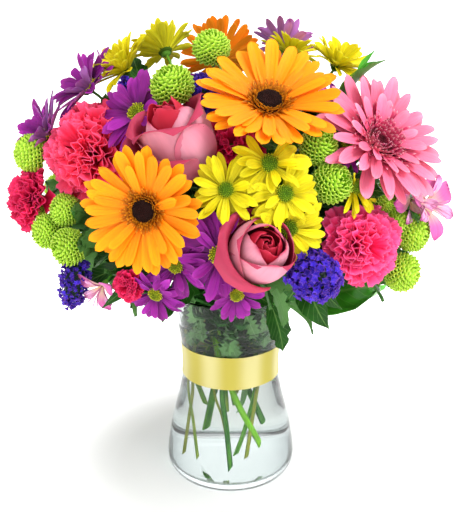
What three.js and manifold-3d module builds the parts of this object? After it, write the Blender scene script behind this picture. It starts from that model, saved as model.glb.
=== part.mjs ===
// A florist's bouquet of gerberas, roses, carnations and chrysanthemums in a clear glass vase
// with a ribbon round its waist. Millimetres, +Z up. The origin is the middle of the vase's
// underside, and the bouquet faces -Y. A direction is an azimuth (0 is the front, 90 is +X)
// and an elevation, in degrees. A bloom's place is a direction and a reach from the heart.

import * as THREE from 'three';
import { mergeVertices } from 'three/addons/utils/BufferGeometryUtils.js';
import Module from 'manifold-3d';

const wasm = await Module();
wasm.setup();
const { Manifold } = wasm;

// Driving dimensions: the vase
const VASE_HEIGHT = 200;
const VASE_OUTLINE = [
  // [radius, height] of the outside, from the foot to the rim
  [66, 0],
  [71.5, 5],
  [72.3, 15],
  [67.5, 46],
  [58.2, 84],
  [53.4, 118],
  [59.6, 175],
  [63.5, VASE_HEIGHT],
];
const VASE_WALL = 3.2;
const VASE_FLOOR = 11;
const VASE_FLOOR_RADIUS = 58;
const VASE_SIDES = 24;
const WATER_LEVEL = 167.5;
const RIBBON_LOW = 108;
const RIBBON_HIGH = 144;
const RIBBON_THICKNESS = 0.8;
const CLEARANCE = 0.3;

// Driving dimensions: the stems
const HEART = new THREE.Vector3(0, 0, 265);
const FOOT_HEIGHT = 12.6;
const TIE_HEIGHT = 127;
const TIE_RADIUS = 10;
const TWIST = 60;
const FOOT_RADII = [41, 28, 36];
const NECK_HEIGHT = 206;
const NECK_RADIUS = 46;
const LEAN_REACH = 150;
const STEM_RADII = { gerbera: 2.6, rose: 2.5, carnation: 2.3 };
const TWIG_RADIUS = 1.5;
const SPRAY_BLOOM = 25;
const STEM_SIDES = 4;
const STEM_STEPS = 7;
const TWIG_STEPS = 2;
const BRANCH_LOW = 214;
const BRANCH_RISE = 8;
const BRANCH_SPARE = 10;
const TWIG_SIDES = 3;
const SEAT_GAP = 0.35;

// The room that its neighbours leave round a bloom and round a stem
const BLOOM_ROOM = 0.4;
const STEM_ROOM = 0.4;
const SCRAP_SHARE = 0.1;

// Where the stem meets each kind of bloom: millimetres, or a share of the bloom's radius
const GERBERA_SEAT = 12;
const DAISY_SEAT = 6;
const ALSTROEMERIA_SEAT = 8;
const CARNATION_SEAT = 0.66;
const ROSE_SEAT = 1.05;
const BUTTON_SEAT = 0.82;
const STATICE_SEAT = 1.25;

// The outline of the room round each kind, in shares of its radius
const ROOMS = {
  gerbera: [[0.28, -0.27], [1.04, -0.11], [1.04, 0.13], [0.8, 0.42]],
  daisy: [[0.26, -0.3], [1.05, -0.06], [1.05, 0.24]],
  carnation: [[0.2, -0.68], [0.96, -0.2], [0.88, 0.36], [0.58, 0.58]],
  rose: [[0.18, -1.06], [0.66, -0.62], [1.08, 0.42], [0.74, 0.74], [0.4, 0.88]],
  button: [[0.55, -0.84], [1, -0.35], [1, 0.4], [0.55, 0.95]],
  statice: [[0.3, -1.26], [1, -0.5], [0.9, 0.4], [0.5, 1.02]],
  alstroemeria: [[0.2, -0.4], [1.03, 0.14], [1.03, 0.55]],
  broadLeaf: [[0.1, 0], [0.36, 0.4], [0.1, 1]],
  leafPair: [[0.1, 0], [0.5, 0.7], [0.3, 1]],
};
const ROOM_SIDES = 8;

// The gerbera's disc in shares of its radius, and how deep its outer petals lie
const DISC_SHARE = 0.27;
const GERBERA_LOW = -4.2;
const ROSE_SIDES = 12;

const COLOURS = {
  glass: 0xe8f0f0,
  water: 0xdfeff2,
  ribbon: 0xe8dc70,
  green: 0x3f8a2a,
  leaf: 0x2f7d1e,
  orange: 0xff9d0a,
  orangeDisc: 0x3a1410,
  pink: 0xf48fb1,
  pinkDisc: 0xc2436b,
  rose: 0xe8566f,
  coral: 0xee4060,
  carnationPink: 0xff4f8b,
  crimson: 0xc81e50,
  yellow: 0xf5e61e,
  purple: 0x8e2a96,
  button: 0x9acd1e,
  statice: 0x4a2fc0,
  alstroemeria: 0xe39ac4,
};

// Every bloom: its node, kind, colour, place [azimuth, elevation, reach], the way that it
// faces [azimuth, elevation], its radius and its turn about its own axis. Where two blooms
// meet, the one that stands earlier in the list keeps its shape.
const BLOOMS = [
  ['daisies_yellow_front', 'daisy', 'yellow', [9, 23.5, 190], [6, 16], 27, 0],
  ['daisies_yellow_front', 'daisy', 'yellow', [-1, 18, 187], [0, 15], 24, 14],
  ['daisies_yellow_front', 'daisy', 'yellow', [13.5, 17, 190], [9, 13], 26, 8],
  ['daisies_yellow_front', 'daisy', 'yellow', [15, 9.5, 188], [16, 2], 26, 3],
  ['gerbera_orange_top', 'gerbera', 'orange', [11, 38, 194], [5, 42], 52, 4],
  ['gerbera_orange_left', 'gerbera', 'orange', [-18, 12.5, 198], [-11, -3], 44, 9],
  ['gerbera_pink', 'gerbera', 'pink', [40, 28, 196], [26, 30], 50, 0],
  ['rose_lower', 'rose', 'rose', [7, 5, 178], [12, 30], 27, 200],
  ['rose_upper', 'rose', 'rose', [-11, 29, 176], [-38, 50], 29, 250],
  ['button_chrysanthemum_top', 'button', 'button', [-7, 53, 201], [-7, 53], 15.5, 0],
  ['button_chrysanthemum_left', 'button', 'button', [-18, 43, 192], [-18, 43], 17.5, 20],
  ['button_chrysanthemums_middle', 'button', 'button', [24, 28.5, 182], [24, 29], 15.5, 50],
  ['button_chrysanthemums_middle', 'button', 'button', [26, 19.5, 181], [26, 19], 16.5, 10],
  ['button_chrysanthemum_far_left', 'button', 'button', [-61, 23, 209], [-61, 23], 17.5, 0],
  ['button_chrysanthemums_left', 'button', 'button', [-63, 10, 192], [-63, 11], 9, 30],
  ['button_chrysanthemums_left', 'button', 'button', [-53, 5.5, 191], [-53, 5], 15.5, 15],
  ['button_chrysanthemums_left', 'button', 'button', [-48, 11.5, 184], [-48, 12], 14.5, 40],
  ['button_chrysanthemums_left', 'button', 'button', [-45, 2.5, 184], [-45, 2], 16.5, 5],
  ['button_chrysanthemums_right', 'button', 'button', [46.5, 15, 178], [46, 15], 13.5, 22],
  ['button_chrysanthemums_right', 'button', 'button', [49, 8, 181], [49, 8], 15.5, 33],
  ['button_chrysanthemums_right', 'button', 'button', [52, 5.5, 191], [52, 6], 17.5, 12],
  ['button_chrysanthemum_low_right', 'button', 'button', [49.5, -4.5, 188], [49, -5], 17.5, 48],
  ['carnation_coral', 'carnation', 'coral', [-47, 27, 184], [-34, 20], 36, 0],
  ['carnation_pink', 'carnation', 'carnationPink', [35, 4, 178], [24, 16], 29, 10],
  ['carnation_crimson_left', 'carnation', 'crimson', [-60, 12.5, 202], [-66, 14], 21, 5],
  ['carnation_crimson_middle', 'carnation', 'crimson', [0, 34, 158], [0, 34], 20, 0],
  ['carnation_crimson_low', 'carnation', 'crimson', [-27, -6, 176], [-27, -6], 13, 0],
  ['daisy_yellow_right', 'daisy', 'yellow', [38, 19, 170], [48, 6], 25, 5],
  ['daisy_yellow_far_left', 'daisy', 'yellow', [-44, 51, 199], [-45, 42], 25, 0],
  ['daisy_yellow_top_left', 'daisy', 'yellow', [-37, 62, 194], [-140, 60], 26, 7],
  ['daisy_yellow_top_right', 'daisy', 'yellow', [45, 52, 201], [35, 50], 24, 11],
  ['daisy_yellow_top', 'daisy', 'yellow', [58, 69, 186], [60, 70], 27, 0],
  ['daisies_purple_low', 'daisy', 'purple', [-3.5, 3.5, 178], [-6, 0], 28, 0],
  ['daisies_purple_low', 'daisy', 'purple', [-13.5, 0.5, 173], [-14, -8], 25, 9],
  ['daisies_purple_low', 'daisy', 'purple', [-20, -8, 170], [-18, -18], 23, 0],
  ['daisies_purple_low', 'daisy', 'purple', [1.5, -6.5, 174], [0, -12], 21, 20],
  ['daisy_purple_middle_left', 'daisy', 'purple', [-28.5, 37, 187], [-20, 20], 31, 6],
  ['daisy_purple_upper_left', 'daisy', 'purple', [-52, 42, 203], [-62, 58], 30, 0],
  ['daisy_purple_far_left', 'daisy', 'purple', [-61, 31, 208], [-84, 26], 27, 12],
  ['daisy_purple_top', 'daisy', 'purple', [77, 74, 198], [150, 60], 31, 0],
  ['daisies_purple_right', 'daisy', 'purple', [36, 38, 166], [40, 38], 24, 0],
  ['daisies_purple_right', 'daisy', 'purple', [38, 31, 162], [34, 28], 22, 10],
  ['gerbera_orange_back', 'gerbera', 'orange', [-160, 80, 192], [-175, 48], 45, 0],
  ['statice_left', 'statice', 'statice', [-45, -6, 182], [-58, -52], 17, 0],
  ['statice_right', 'statice', 'statice', [19.5, -1.5, 182], [20, -8], 20, 0],
  ['statice_middle', 'statice', 'statice', [-10.5, 46, 172], [-10, 48], 16, 0],
  ['alstroemeria_right', 'alstroemeria', 'alstroemeria', [55, 11.5, 200], [62, 6], 23, 0],
  ['alstroemeria_low', 'alstroemeria', 'alstroemeria', [-37.5, -8, 172], [-34, -50], 15, 0],
  ['gerbera_orange_side', 'gerbera', 'orange', [108, 34, 182], [108, 30], 46, 0],
  ['gerbera_pink_back', 'gerbera', 'pink', [-172, 38, 180], [-172, 34], 48, 0],
  ['rose_right', 'rose', 'rose', [84, 8, 180], [84, 22], 27, 90],
  ['rose_back', 'rose', 'rose', [162, 8, 176], [162, 24], 28, 30],
  ['rose_left', 'rose', 'rose', [-112, 36, 182], [-110, 44], 28, 150],
  ['carnation_pink_back', 'carnation', 'carnationPink', [122, 4, 176], [122, 8], 32, 0],
  ['carnation_coral_back', 'carnation', 'coral', [-132, 8, 180], [-132, 10], 34, 20],
  ['daisies_yellow_back', 'daisy', 'yellow', [-165, 4, 178], [-165, 4], 26, 0],
  ['daisies_yellow_back', 'daisy', 'yellow', [-155, 12, 179], [-158, 10], 26, 8],
  ['daisies_purple_back', 'daisy', 'purple', [143, 35, 184], [144, 38], 28, 0],
  ['daisies_purple_back', 'daisy', 'purple', [150, 43, 185], [146, 44], 28, 6],
  ['button_chrysanthemums_back', 'button', 'button', [-98, 6, 186], [-98, 6], 17, 0],
  ['button_chrysanthemums_back', 'button', 'button', [-103, 12, 187], [-103, 12], 16, 25],
  ['statice_back', 'statice', 'statice', [-100, 58, 188], [-100, 58], 17, 0],
  ['leaf_large', 'broadLeaf', 'leaf', [36.8, -29, 110], [84, 13], 84, 32],
  ['leaves_top_right', 'leafPair', 'leaf', [43, 44.5, 212], [60, 42], 32, 60],
];

const radians = THREE.MathUtils.degToRad;

// The same random numbers on every run
function randomSource(seed) {
  let state = seed;
  return () => {
    state = (state * 1664525 + 1013904223) % 4294967296;
    return state / 4294967296;
  };
}

function direction([azimuth, elevation]) {
  const flat = Math.cos(radians(elevation));
  return new THREE.Vector3(
    Math.sin(radians(azimuth)) * flat,
    -Math.cos(radians(azimuth)) * flat,
    Math.sin(radians(elevation)),
  );
}

function placeOf([azimuth, elevation, reach]) {
  return direction([azimuth, elevation]).multiplyScalar(reach).add(HEART);
}

// Turns a shape's own +Z to the way that it faces, with its own +Y upwards, and moves it.
function frameOf(place, [azimuth, elevation], spin) {
  return new THREE.Matrix4()
    .makeTranslation(place)
    .multiply(new THREE.Matrix4().makeRotationZ(radians(azimuth)))
    .multiply(new THREE.Matrix4().makeRotationX(radians(90 - elevation)))
    .multiply(new THREE.Matrix4().makeRotationZ(radians(spin)));
}

// A solid from a closed geometry
function solidOf(geometry) {
  const bare = new THREE.BufferGeometry();
  bare.setAttribute('position', geometry.getAttribute('position'));
  bare.setIndex(geometry.getIndex());
  const merged = mergeVertices(bare, 1e-4);
  const triVerts = new Uint32Array(merged.index.array);
  const vertProperties = merged.attributes.position.array;
  const made = new Manifold(new wasm.Mesh({ numProp: 3, vertProperties, triVerts }));
  if (made.volume() > 0) return made;
  for (let i = 0; i < triVerts.length; i += 3) {
    [triVerts[i + 1], triVerts[i + 2]] = [triVerts[i + 2], triVerts[i + 1]];
  }
  return new Manifold(new wasm.Mesh({ numProp: 3, vertProperties, triVerts }));
}

function geometryOf(solid) {
  const { vertProperties, triVerts } = solid.getMesh();
  const geometry = new THREE.BufferGeometry();
  geometry.setAttribute('position', new THREE.BufferAttribute(vertProperties, 3));
  geometry.setIndex(new THREE.BufferAttribute(triVerts, 1));
  const flat = geometry.toNonIndexed();
  flat.computeVertexNormals();
  return flat;
}

// The largest body: loose scraps are dropped and a sealed hollow is filled.
function mainBody(solid) {
  const bodies = solid.decompose();
  return bodies.reduce((a, b) => (b.volume() > a.volume() ? b : a));
}

function boxesMeet(a, b) {
  const boxA = a.boundingBox();
  const boxB = b.boundingBox();
  return [0, 1, 2].every((k) => boxA.min[k] <= boxB.max[k] && boxB.min[k] <= boxA.max[k]);
}

// A solid with every nearby cutter taken off
function cutClear(solid, cutters) {
  const near = cutters.filter((cutter) => boxesMeet(solid, cutter));
  return near.reduce((rest, cutter) => mainBody(rest.subtract(cutter)), solid);
}

function indexedSolid(positions, faces) {
  const geometry = new THREE.BufferGeometry();
  geometry.setAttribute('position', new THREE.Float32BufferAttribute(positions, 3));
  geometry.setIndex(faces);
  return solidOf(geometry);
}

function lathe(outline, sides) {
  const points = outline.map(([radius, height]) => new THREE.Vector2(radius, height));
  const geometry = new THREE.LatheGeometry(points, sides);
  geometry.rotateX(Math.PI / 2);
  return solidOf(geometry);
}

// Rings of points round +Z, joined from a point at the bottom to a point at the top. Each
// ring is a function from a point's number to its radius, its height and a turn in steps.
function ringStack(sides, bottom, rings, top) {
  const positions = [0, 0, bottom, 0, 0, top];
  rings.forEach((ring) => {
    for (let i = 0; i < sides; i += 1) {
      const [radius, height, turn = 0] = ring(i);
      const angle = (2 * Math.PI * (i + turn)) / sides;
      positions.push(radius * Math.cos(angle), radius * Math.sin(angle), height);
    }
  });
  const at = (k, i) => 2 + k * sides + (i % sides);
  const faces = [];
  const last = rings.length - 1;
  for (let i = 0; i < sides; i += 1) {
    faces.push(0, at(0, i + 1), at(0, i));
    faces.push(1, at(last, i), at(last, i + 1));
    for (let k = 0; k < last; k += 1) {
      faces.push(at(k, i), at(k, i + 1), at(k + 1, i + 1));
      faces.push(at(k, i), at(k + 1, i + 1), at(k + 1, i));
    }
  }
  return indexedSolid(positions, faces);
}

// A thin arched blade along +X, from a root point to a tip point. Each station gives the
// distance out, the height, half the width, how far the edges stand above the middle, and
// the thickness; its section is a rhombus, square to the blade.
function bladeSolid(root, stations, tip) {
  const line = [root, ...stations, tip];
  const positions = [root[0], 0, root[1]];
  stations.forEach(([out, height, halfWidth, lift, thickness], k) => {
    const before = line[k];
    const after = line[k + 2];
    const slope = Math.atan2(after[1] - before[1], after[0] - before[0]);
    const normalX = -Math.sin(slope);
    const normalZ = Math.cos(slope);
    const edge = [out + lift * normalX, height + lift * normalZ];
    const half = thickness / 2;
    positions.push(edge[0], halfWidth, edge[1]);
    positions.push(out + half * normalX, 0, height + half * normalZ);
    positions.push(edge[0], -halfWidth, edge[1]);
    positions.push(out - half * normalX, 0, height - half * normalZ);
  });
  positions.push(tip[0], 0, tip[1]);
  const faces = [];
  const corner = (k, i) => 1 + 4 * k + (i % 4);
  const last = stations.length - 1;
  const tipIndex = 4 * stations.length + 1;
  for (let i = 0; i < 4; i += 1) {
    faces.push(0, corner(0, i), corner(0, i + 1));
    faces.push(tipIndex, corner(last, i + 1), corner(last, i));
    for (let k = 0; k < last; k += 1) {
      const [a, b, c, d] = [corner(k, i), corner(k + 1, i), corner(k + 1, i + 1), corner(k, i + 1)];
      if (i % 2 === 0) faces.push(a, b, c, a, c, d);
      else faces.push(a, b, d, b, c, d);
    }
  }
  return indexedSolid(positions, faces);
}

// A rosette of petals that grow from a double cone, as one closed skin. The notches between
// the petals lie on the cone's edge. shape(k) gives petal k's stations, each [distance out,
// height, half the width, thickness], and its tip [distance out, height].
function rosette(count, back, front, [notchRadius, notchHeight, rootThickness], shape) {
  const positions = [0, 0, back, 0, 0, front];
  const step = (2 * Math.PI) / count;
  const polar = (angle, out, side, height) => {
    const x = Math.cos(angle);
    const y = Math.sin(angle);
    positions.push(x * out - y * side, y * out + x * side, height);
    return positions.length / 3 - 1;
  };
  const notches = [];
  for (let k = 0; k < count; k += 1) {
    notches.push(polar((k - 0.5) * step, notchRadius, 0, notchHeight));
  }
  const faces = [];
  for (let k = 0; k < count; k += 1) {
    const { stations, tip } = shape(k);
    const middle = (out, height, thickness) => ({
      top: polar(k * step, out, 0, height + thickness / 2),
      under: polar(k * step, out, 0, height - thickness / 2),
    });
    const root = { right: notches[k], left: notches[(k + 1) % count] };
    Object.assign(root, middle(notchRadius, notchHeight, rootThickness));
    faces.push(1, root.right, root.top, 1, root.top, root.left);
    faces.push(0, root.under, root.right, 0, root.left, root.under);
    const rows = [root];
    stations.forEach(([out, height, halfWidth, thickness]) => {
      const right = polar(k * step, out, -halfWidth, height);
      const left = polar(k * step, out, halfWidth, height);
      rows.push({ right, left, ...middle(out, height, thickness) });
    });
    for (let j = 0; j + 1 < rows.length; j += 1) {
      const [near, far] = [rows[j], rows[j + 1]];
      faces.push(near.right, far.right, far.top, near.right, far.top, near.top);
      faces.push(near.left, near.top, far.top, near.left, far.top, far.left);
      faces.push(near.right, near.under, far.under, near.right, far.under, far.right);
      faces.push(near.left, far.left, far.under, near.left, far.under, near.under);
    }
    const final = rows.at(-1);
    const end = polar(k * step, tip[0], 0, tip[1]);
    faces.push(final.right, end, final.top, final.left, final.top, end);
    faces.push(final.right, final.under, end, final.left, end, final.under);
  }
  return indexedSolid(positions, faces);
}

// Two layers of long petals; the inner one's double cone sinks into the outer one's. A plain
// one, out of sight from the front, has simpler outer petals.
function gerbera(radius, random, plain) {
  const disc = DISC_SHARE * radius;
  const outerPetal = () => {
    const reach = radius * (0.95 + 0.1 * random());
    const lift = radius * 0.14 * (0.8 + 0.4 * random());
    const stations = [
      [reach * 0.6, GERBERA_LOW + lift * 0.5, radius * 0.135, 1.8],
      [reach * 0.87, GERBERA_LOW + lift * 0.85, radius * 0.12, 1.4],
    ].slice(plain ? 1 : 0);
    return { stations, tip: [reach, GERBERA_LOW + lift] };
  };
  const innerPetal = () => {
    const reach = radius * 0.72 * (0.94 + 0.12 * random());
    const lift = radius * 0.32 * (0.8 + 0.4 * random());
    return { stations: [[reach * 0.75, lift * 0.7, radius * 0.115, 1.6]], tip: [reach, lift] };
  };
  const root = [disc * 0.98, GERBERA_LOW, 1.8];
  const outer = rosette(11, -GERBERA_SEAT, GERBERA_LOW + 0.6, root, outerPetal);
  const inner = rosette(8, GERBERA_LOW - 3, -0.2, [disc * 0.98, -1.6, 1.8], innerPetal);
  return outer.add(inner);
}

// The florets of a gerbera: a low cushion whose rings of florets stand up and lie down by turns
function gerberaDisc(radius) {
  const waved = (share, height, wave) => (i) => [radius * share, height + wave * ((i % 2) - 0.5)];
  const rings = [
    () => [radius * DISC_SHARE * 0.94, CLEARANCE],
    waved(DISC_SHARE * 0.98, 2.6, 1.6),
    waved(0.19, 1.9, 1.4),
    waved(0.11, 2.6, 1),
  ];
  return ringStack(8, CLEARANCE, rings, 1.6);
}

// One layer of plain petals round a domed disc
function daisy(radius, random) {
  const disc = Math.max(4.5, 0.25 * radius);
  const petal = () => {
    const reach = radius * (0.92 + 0.14 * random());
    const lift = radius * (0.02 + 0.2 * random());
    return { stations: [[reach * 0.68, lift * 0.7, radius * 0.2, 1.4]], tip: [reach, lift] };
  };
  return rosette(8, -DAISY_SEAT, 3.6, [disc, -0.6, 1.6], petal);
}

// Frilled layers of petals one above the other: the rims run in and out and up and down,
// and the grooves between the layers run far in.
function carnation(radius) {
  const frill = (share, height, turn) => (i) => {
    const side = i % 2 === 0 ? 1 : -1;
    return [radius * (share + 0.08 * side), radius * (height + 0.07 * side), turn];
  };
  const groove = (share, height, turn) => () => [radius * share, radius * height, turn];
  const rings = [
    groove(0.15, -CARNATION_SEAT, 0),
    groove(0.28, -0.3, 0),
    frill(0.88, -0.12, 0),
    groove(0.5, 0.06, 0.5),
    frill(0.76, 0.26, 1),
    groove(0.36, 0.24, 0.5),
    frill(0.5, 0.5, 0),
  ];
  return ringStack(radius > SPRAY_BLOOM ? 12 : 10, -radius * CARNATION_SEAT, rings, radius * 0.3);
}

// Lobed cups of petals one inside the other round a pointed bud; the outer cup rolls back
function rose(radius) {
  const lobed = (lobes, share, height, depth, rise = 0) => (i) => {
    const wave = Math.cos((2 * Math.PI * i * lobes) / ROSE_SIDES);
    return [radius * (share + depth * wave), radius * (height + rise * wave)];
  };
  const outer = [
    lobed(4, 0.16, -ROSE_SEAT, 0),
    lobed(4, 0.62, -0.62, 0),
    lobed(4, 0.86, -0.02, 0.03),
    lobed(4, 0.98, 0.4, 0.12, -0.06),
    lobed(4, 0.8, 0.5, 0.05, 0.05),
    lobed(4, 0.66, 0.1, 0.02),
    lobed(3, 0.64, 0.66, 0.08, 0.06),
    lobed(3, 0.5, 0.7, 0.05, 0.06),
    lobed(3, 0.4, 0.2, 0.02),
    lobed(2, 0.34, 0.82, 0.05, 0.03),
  ];
  return ringStack(ROSE_SIDES, -radius * ROSE_SEAT, outer, radius * 0.55);
}

// A dense ball of stubby petals, which stand out of it as knobs
function button(radius, random) {
  const plain = new THREE.IcosahedronGeometry(1, 1);
  plain.deleteAttribute('normal');
  plain.deleteAttribute('uv');
  const ball = mergeVertices(plain, 1e-4);
  const position = ball.attributes.position;
  const point = new THREE.Vector3();
  for (let i = 0; i < position.count; i += 1) {
    point.fromBufferAttribute(position, i);
    const knob = i % 2 === 0 ? 1 : 0.87;
    point.multiplyScalar(radius * knob * (0.98 + 0.04 * random()));
    position.setXYZ(i, point.x, point.y, Math.max(point.z, -radius * BUTTON_SEAT));
  }
  return solidOf(ball);
}

// A brush of papery florets, whose rings of tips stand out of a slim core
function statice(radius) {
  const half = radius * STATICE_SEAT;
  const spiky = (share, height, turn) => (i) => {
    const tip = i % 2 === turn ? 1 : 0.5;
    return [radius * share * tip, half * (height + 0.2 * tip), turn * 0.2];
  };
  const rings = [
    () => [radius * 0.2, -half],
    spiky(0.8, -0.8, 0),
    spiky(1, -0.45, 1),
    spiky(0.98, -0.1, 0),
    spiky(0.86, 0.25, 1),
    spiky(0.6, 0.6, 0),
  ];
  return ringStack(8, -half, rings, half * 0.8);
}

// Three broad and three narrow petals by turns flare from a short throat
function alstroemeria(radius) {
  const petal = (k) => {
    const [length, width, rise] = k % 2 === 0 ? [1, 0.3, 0.32] : [0.92, 0.17, 0.46];
    const stations = [[radius * length * 0.7, radius * rise, radius * width, 1.5]];
    return { stations, tip: [radius * length, radius * rise * 1.1] };
  };
  return rosette(6, -ALSTROEMERIA_SEAT, 1.5, [2.4, -1, 2], petal);
}

// A broad glossy leaf that points along +Z with its upper side towards +Y
function broadLeaf(length) {
  return leafSolid(length, length * 0.33, -length * 0.1, false).rotate([0, -90, 0]).rotate([0, 0, -90]);
}

// Two narrow pointed leaves from one root
function leafPair(length) {
  const [first, second] = [14, -24].map((angle) =>
    leafSolid(length, length * 0.17, -length * 0.05, false).rotate([0, 0, angle]),
  );
  return first.add(second.translate([0, 0, 0.4])).rotate([0, -90, 0]).rotate([0, 0, -90]);
}

// How far the seat of each kind lies behind the place of its petals
const MAKERS = {
  gerbera: { make: gerbera, seat: () => GERBERA_SEAT },
  daisy: { make: daisy, seat: () => DAISY_SEAT },
  carnation: { make: carnation, seat: (radius) => radius * CARNATION_SEAT },
  rose: { make: rose, seat: (radius) => radius * ROSE_SEAT },
  button: { make: button, seat: (radius) => radius * BUTTON_SEAT },
  statice: { make: statice, seat: (radius) => radius * STATICE_SEAT },
  alstroemeria: { make: alstroemeria, seat: () => ALSTROEMERIA_SEAT },
  broadLeaf: { make: broadLeaf, seat: () => 0 },
  leafPair: { make: leafPair, seat: () => 0 },
};

const blooms = BLOOMS.map(([node, kind, colour, place, face, radius, spin], index) => {
  const centre = placeOf(place);
  const axis = direction(face);
  const seat = centre.clone().addScaledVector(axis, -MAKERS[kind].seat(radius) - SEAT_GAP);
  return { node, kind, colour, place, centre, axis, seat, radius, face, spin, index };
});

// --- stems ---

function tube(points, radius, sides, steps) {
  const ring = [];
  for (let i = 0; i < sides; i += 1) {
    const angle = (2 * Math.PI * i) / sides;
    ring.push(new THREE.Vector2(radius * Math.cos(angle), radius * Math.sin(angle)));
  }
  const extrudePath = new THREE.CatmullRomCurve3(points);
  return solidOf(new THREE.ExtrudeGeometry(new THREE.Shape(ring), { steps, extrudePath }));
}

function azimuthOf(point) {
  return THREE.MathUtils.radToDeg(Math.atan2(point.x, -point.y));
}

// A point at an azimuth, a distance from the vase's axis and a height
function around(azimuth, radius, height) {
  return direction([azimuth, 0]).multiplyScalar(radius).setZ(height);
}

// The stems that stand in the water, in order round the vase. They cross in a spiral, so each
// one passes the waist a little before its bloom's side and has its foot behind that again.
function mainStems() {
  const carried = blooms.filter((bloom) => bloom.kind in STEM_RADII && bloom.radius > SPRAY_BLOOM);
  carried.sort((a, b) => azimuthOf(a.seat) - azimuthOf(b.seat));
  return carried.map((bloom, k) => {
    const waist = (360 / carried.length) * (k + 0.5) - 180 - TWIST;
    const lean = Math.min(1, Math.hypot(bloom.seat.x, bloom.seat.y) / LEAN_REACH);
    const foot = around(waist - TWIST, FOOT_RADII[k % FOOT_RADII.length], FOOT_HEIGHT);
    const tie = around(waist, TIE_RADIUS, TIE_HEIGHT);
    const neck = around(azimuthOf(bloom.seat), NECK_RADIUS * (0.3 + 0.7 * lean), NECK_HEIGHT);
    return { bloom, foot, tie, neck, radius: STEM_RADII[bloom.kind] };
  });
}

function lastStretch(bloom, length) {
  return [bloom.seat.clone().addScaledVector(bloom.axis, -length), bloom.seat];
}

function mainPath({ bloom, foot, tie, neck }) {
  return [foot.clone().lerp(tie, -0.03), tie, neck, ...lastStretch(bloom, 22)];
}

// A main stem, or with some room the hole that it needs in the pieces round it
function mainTube(stem, room) {
  return tube(mainPath(stem), stem.radius + room, STEM_SIDES, STEM_STEPS);
}

// The middle of a main stem's tube at a height
function middleAt(stem, height) {
  const line = new THREE.CatmullRomCurve3(mainPath(stem)).getSpacedPoints(STEM_STEPS);
  const above = line.findIndex((point) => point.z >= height);
  const [low, high] = [line[above - 1], line[above]];
  return low.clone().lerp(high, (height - low.z) / (high.z - low.z));
}

const mains = mainStems();
const taken = new Map(mains.map((stem) => [stem, 0]));

// A bloom without a stem of its own grows on a twig from the nearest main stem that has a
// place left for it; the lowest blooms take the lowest places.
function twigOf(bloom) {
  const nextHeight = (stem) => BRANCH_LOW + BRANCH_RISE * taken.get(stem);
  const free = mains.filter((stem) => stem.bloom.seat.z > nextHeight(stem) + BRANCH_SPARE);
  const reach = (stem) => middleAt(stem, nextHeight(stem)).distanceTo(bloom.seat);
  const nearest = free.reduce((a, b) => (reach(b) < reach(a) ? b : a));
  const start = middleAt(nearest, nextHeight(nearest));
  taken.set(nearest, taken.get(nearest) + 1);
  return { bloom, start };
}

const twigs = blooms
  .filter((bloom) => !mains.some((stem) => stem.bloom === bloom))
  .sort((a, b) => a.seat.z - b.seat.z)
  .map(twigOf);

function twigTube({ bloom, start }, room) {
  return tube([start, ...lastStretch(bloom, 18)], TWIG_RADIUS + room, TWIG_SIDES, TWIG_STEPS);
}

function allTubes(room) {
  const trunks = mains.map((stem) => mainTube(stem, room));
  return [...trunks, ...twigs.map((twig) => twigTube(twig, room))];
}

// The stems' feet are cut off level, a little above the floor of the vase.
const underFeet = lathe(
  [[0, 0], [VASE_FLOOR_RADIUS, 0], [VASE_FLOOR_RADIUS, FOOT_HEIGHT], [0, FOOT_HEIGHT]],
  8,
);
const stemSolids = allTubes(0).map((stem) => stem.subtract(underFeet));
const stemRoom = allTubes(STEM_ROOM);

// --- blooms, each cut clear of the stems and of the blooms before it ---

// A plain turned shape that holds a bloom with some room round it
function roomAround(kind, radius) {
  const widen = 1 / Math.cos(Math.PI / ROOM_SIDES);
  const outline = ROOMS[kind].map(([out, height]) => [
    out * radius * widen + BLOOM_ROOM,
    height * radius + Math.sign(height) * BLOOM_ROOM,
  ]);
  const [low, high] = [outline[0][1], outline.at(-1)[1]];
  return lathe([[0, low], ...outline, [0, high]], ROOM_SIDES);
}

// One body from solids that hold together; scraps that the cuts left loose are dropped.
function oneBody(name, solids) {
  const bodies = Manifold.union(solids).decompose();
  bodies.sort((a, b) => b.volume() - a.volume());
  const loose = bodies.slice(1).filter((body) => body.volume() > SCRAP_SHARE * bodies[0].volume());
  if (loose.length > 0) throw new Error(`${name} falls apart`);
  return bodies[0];
}

const solidsByNode = new Map();
const coloursByNode = new Map();
const bloomRooms = [];

function addSolid(node, colour, solid) {
  if (!solidsByNode.has(node)) solidsByNode.set(node, []);
  solidsByNode.get(node).push(solid);
  coloursByNode.set(node, colour);
}

blooms.forEach((bloom) => {
  const random = randomSource(100 + bloom.index);
  const frame = frameOf(bloom.centre, bloom.face, bloom.spin).elements;
  const others = bloomRooms.filter((room) => room.node !== bloom.node).map((room) => room.solid);
  const cutters = [...stemRoom, ...others];
  const behind = Math.abs(bloom.place[0]) > 90;
  const body = MAKERS[bloom.kind].make(bloom.radius, random, behind).transform(frame);
  addSolid(bloom.node, bloom.colour, cutClear(body, cutters));
  if (bloom.kind === 'gerbera') {
    const disc = gerberaDisc(bloom.radius).transform(frame);
    addSolid(`${bloom.node}_disc`, `${bloom.colour}Disc`, cutClear(disc, cutters));
  }
  const room = roomAround(bloom.kind, bloom.radius).transform(frame);
  bloomRooms.push({ node: bloom.node, solid: room });
});

// --- vase, water and ribbon ---

// The outline's radius at a height
function outlineRadius(height) {
  const above = VASE_OUTLINE.findIndex(([, z]) => z >= height);
  const [radiusA, heightA] = VASE_OUTLINE[Math.max(above - 1, 0)];
  const [radiusB, heightB] = VASE_OUTLINE[above];
  if (heightB === heightA) return radiusB;
  return radiusA + ((radiusB - radiusA) * (height - heightA)) / (heightB - heightA);
}

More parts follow.
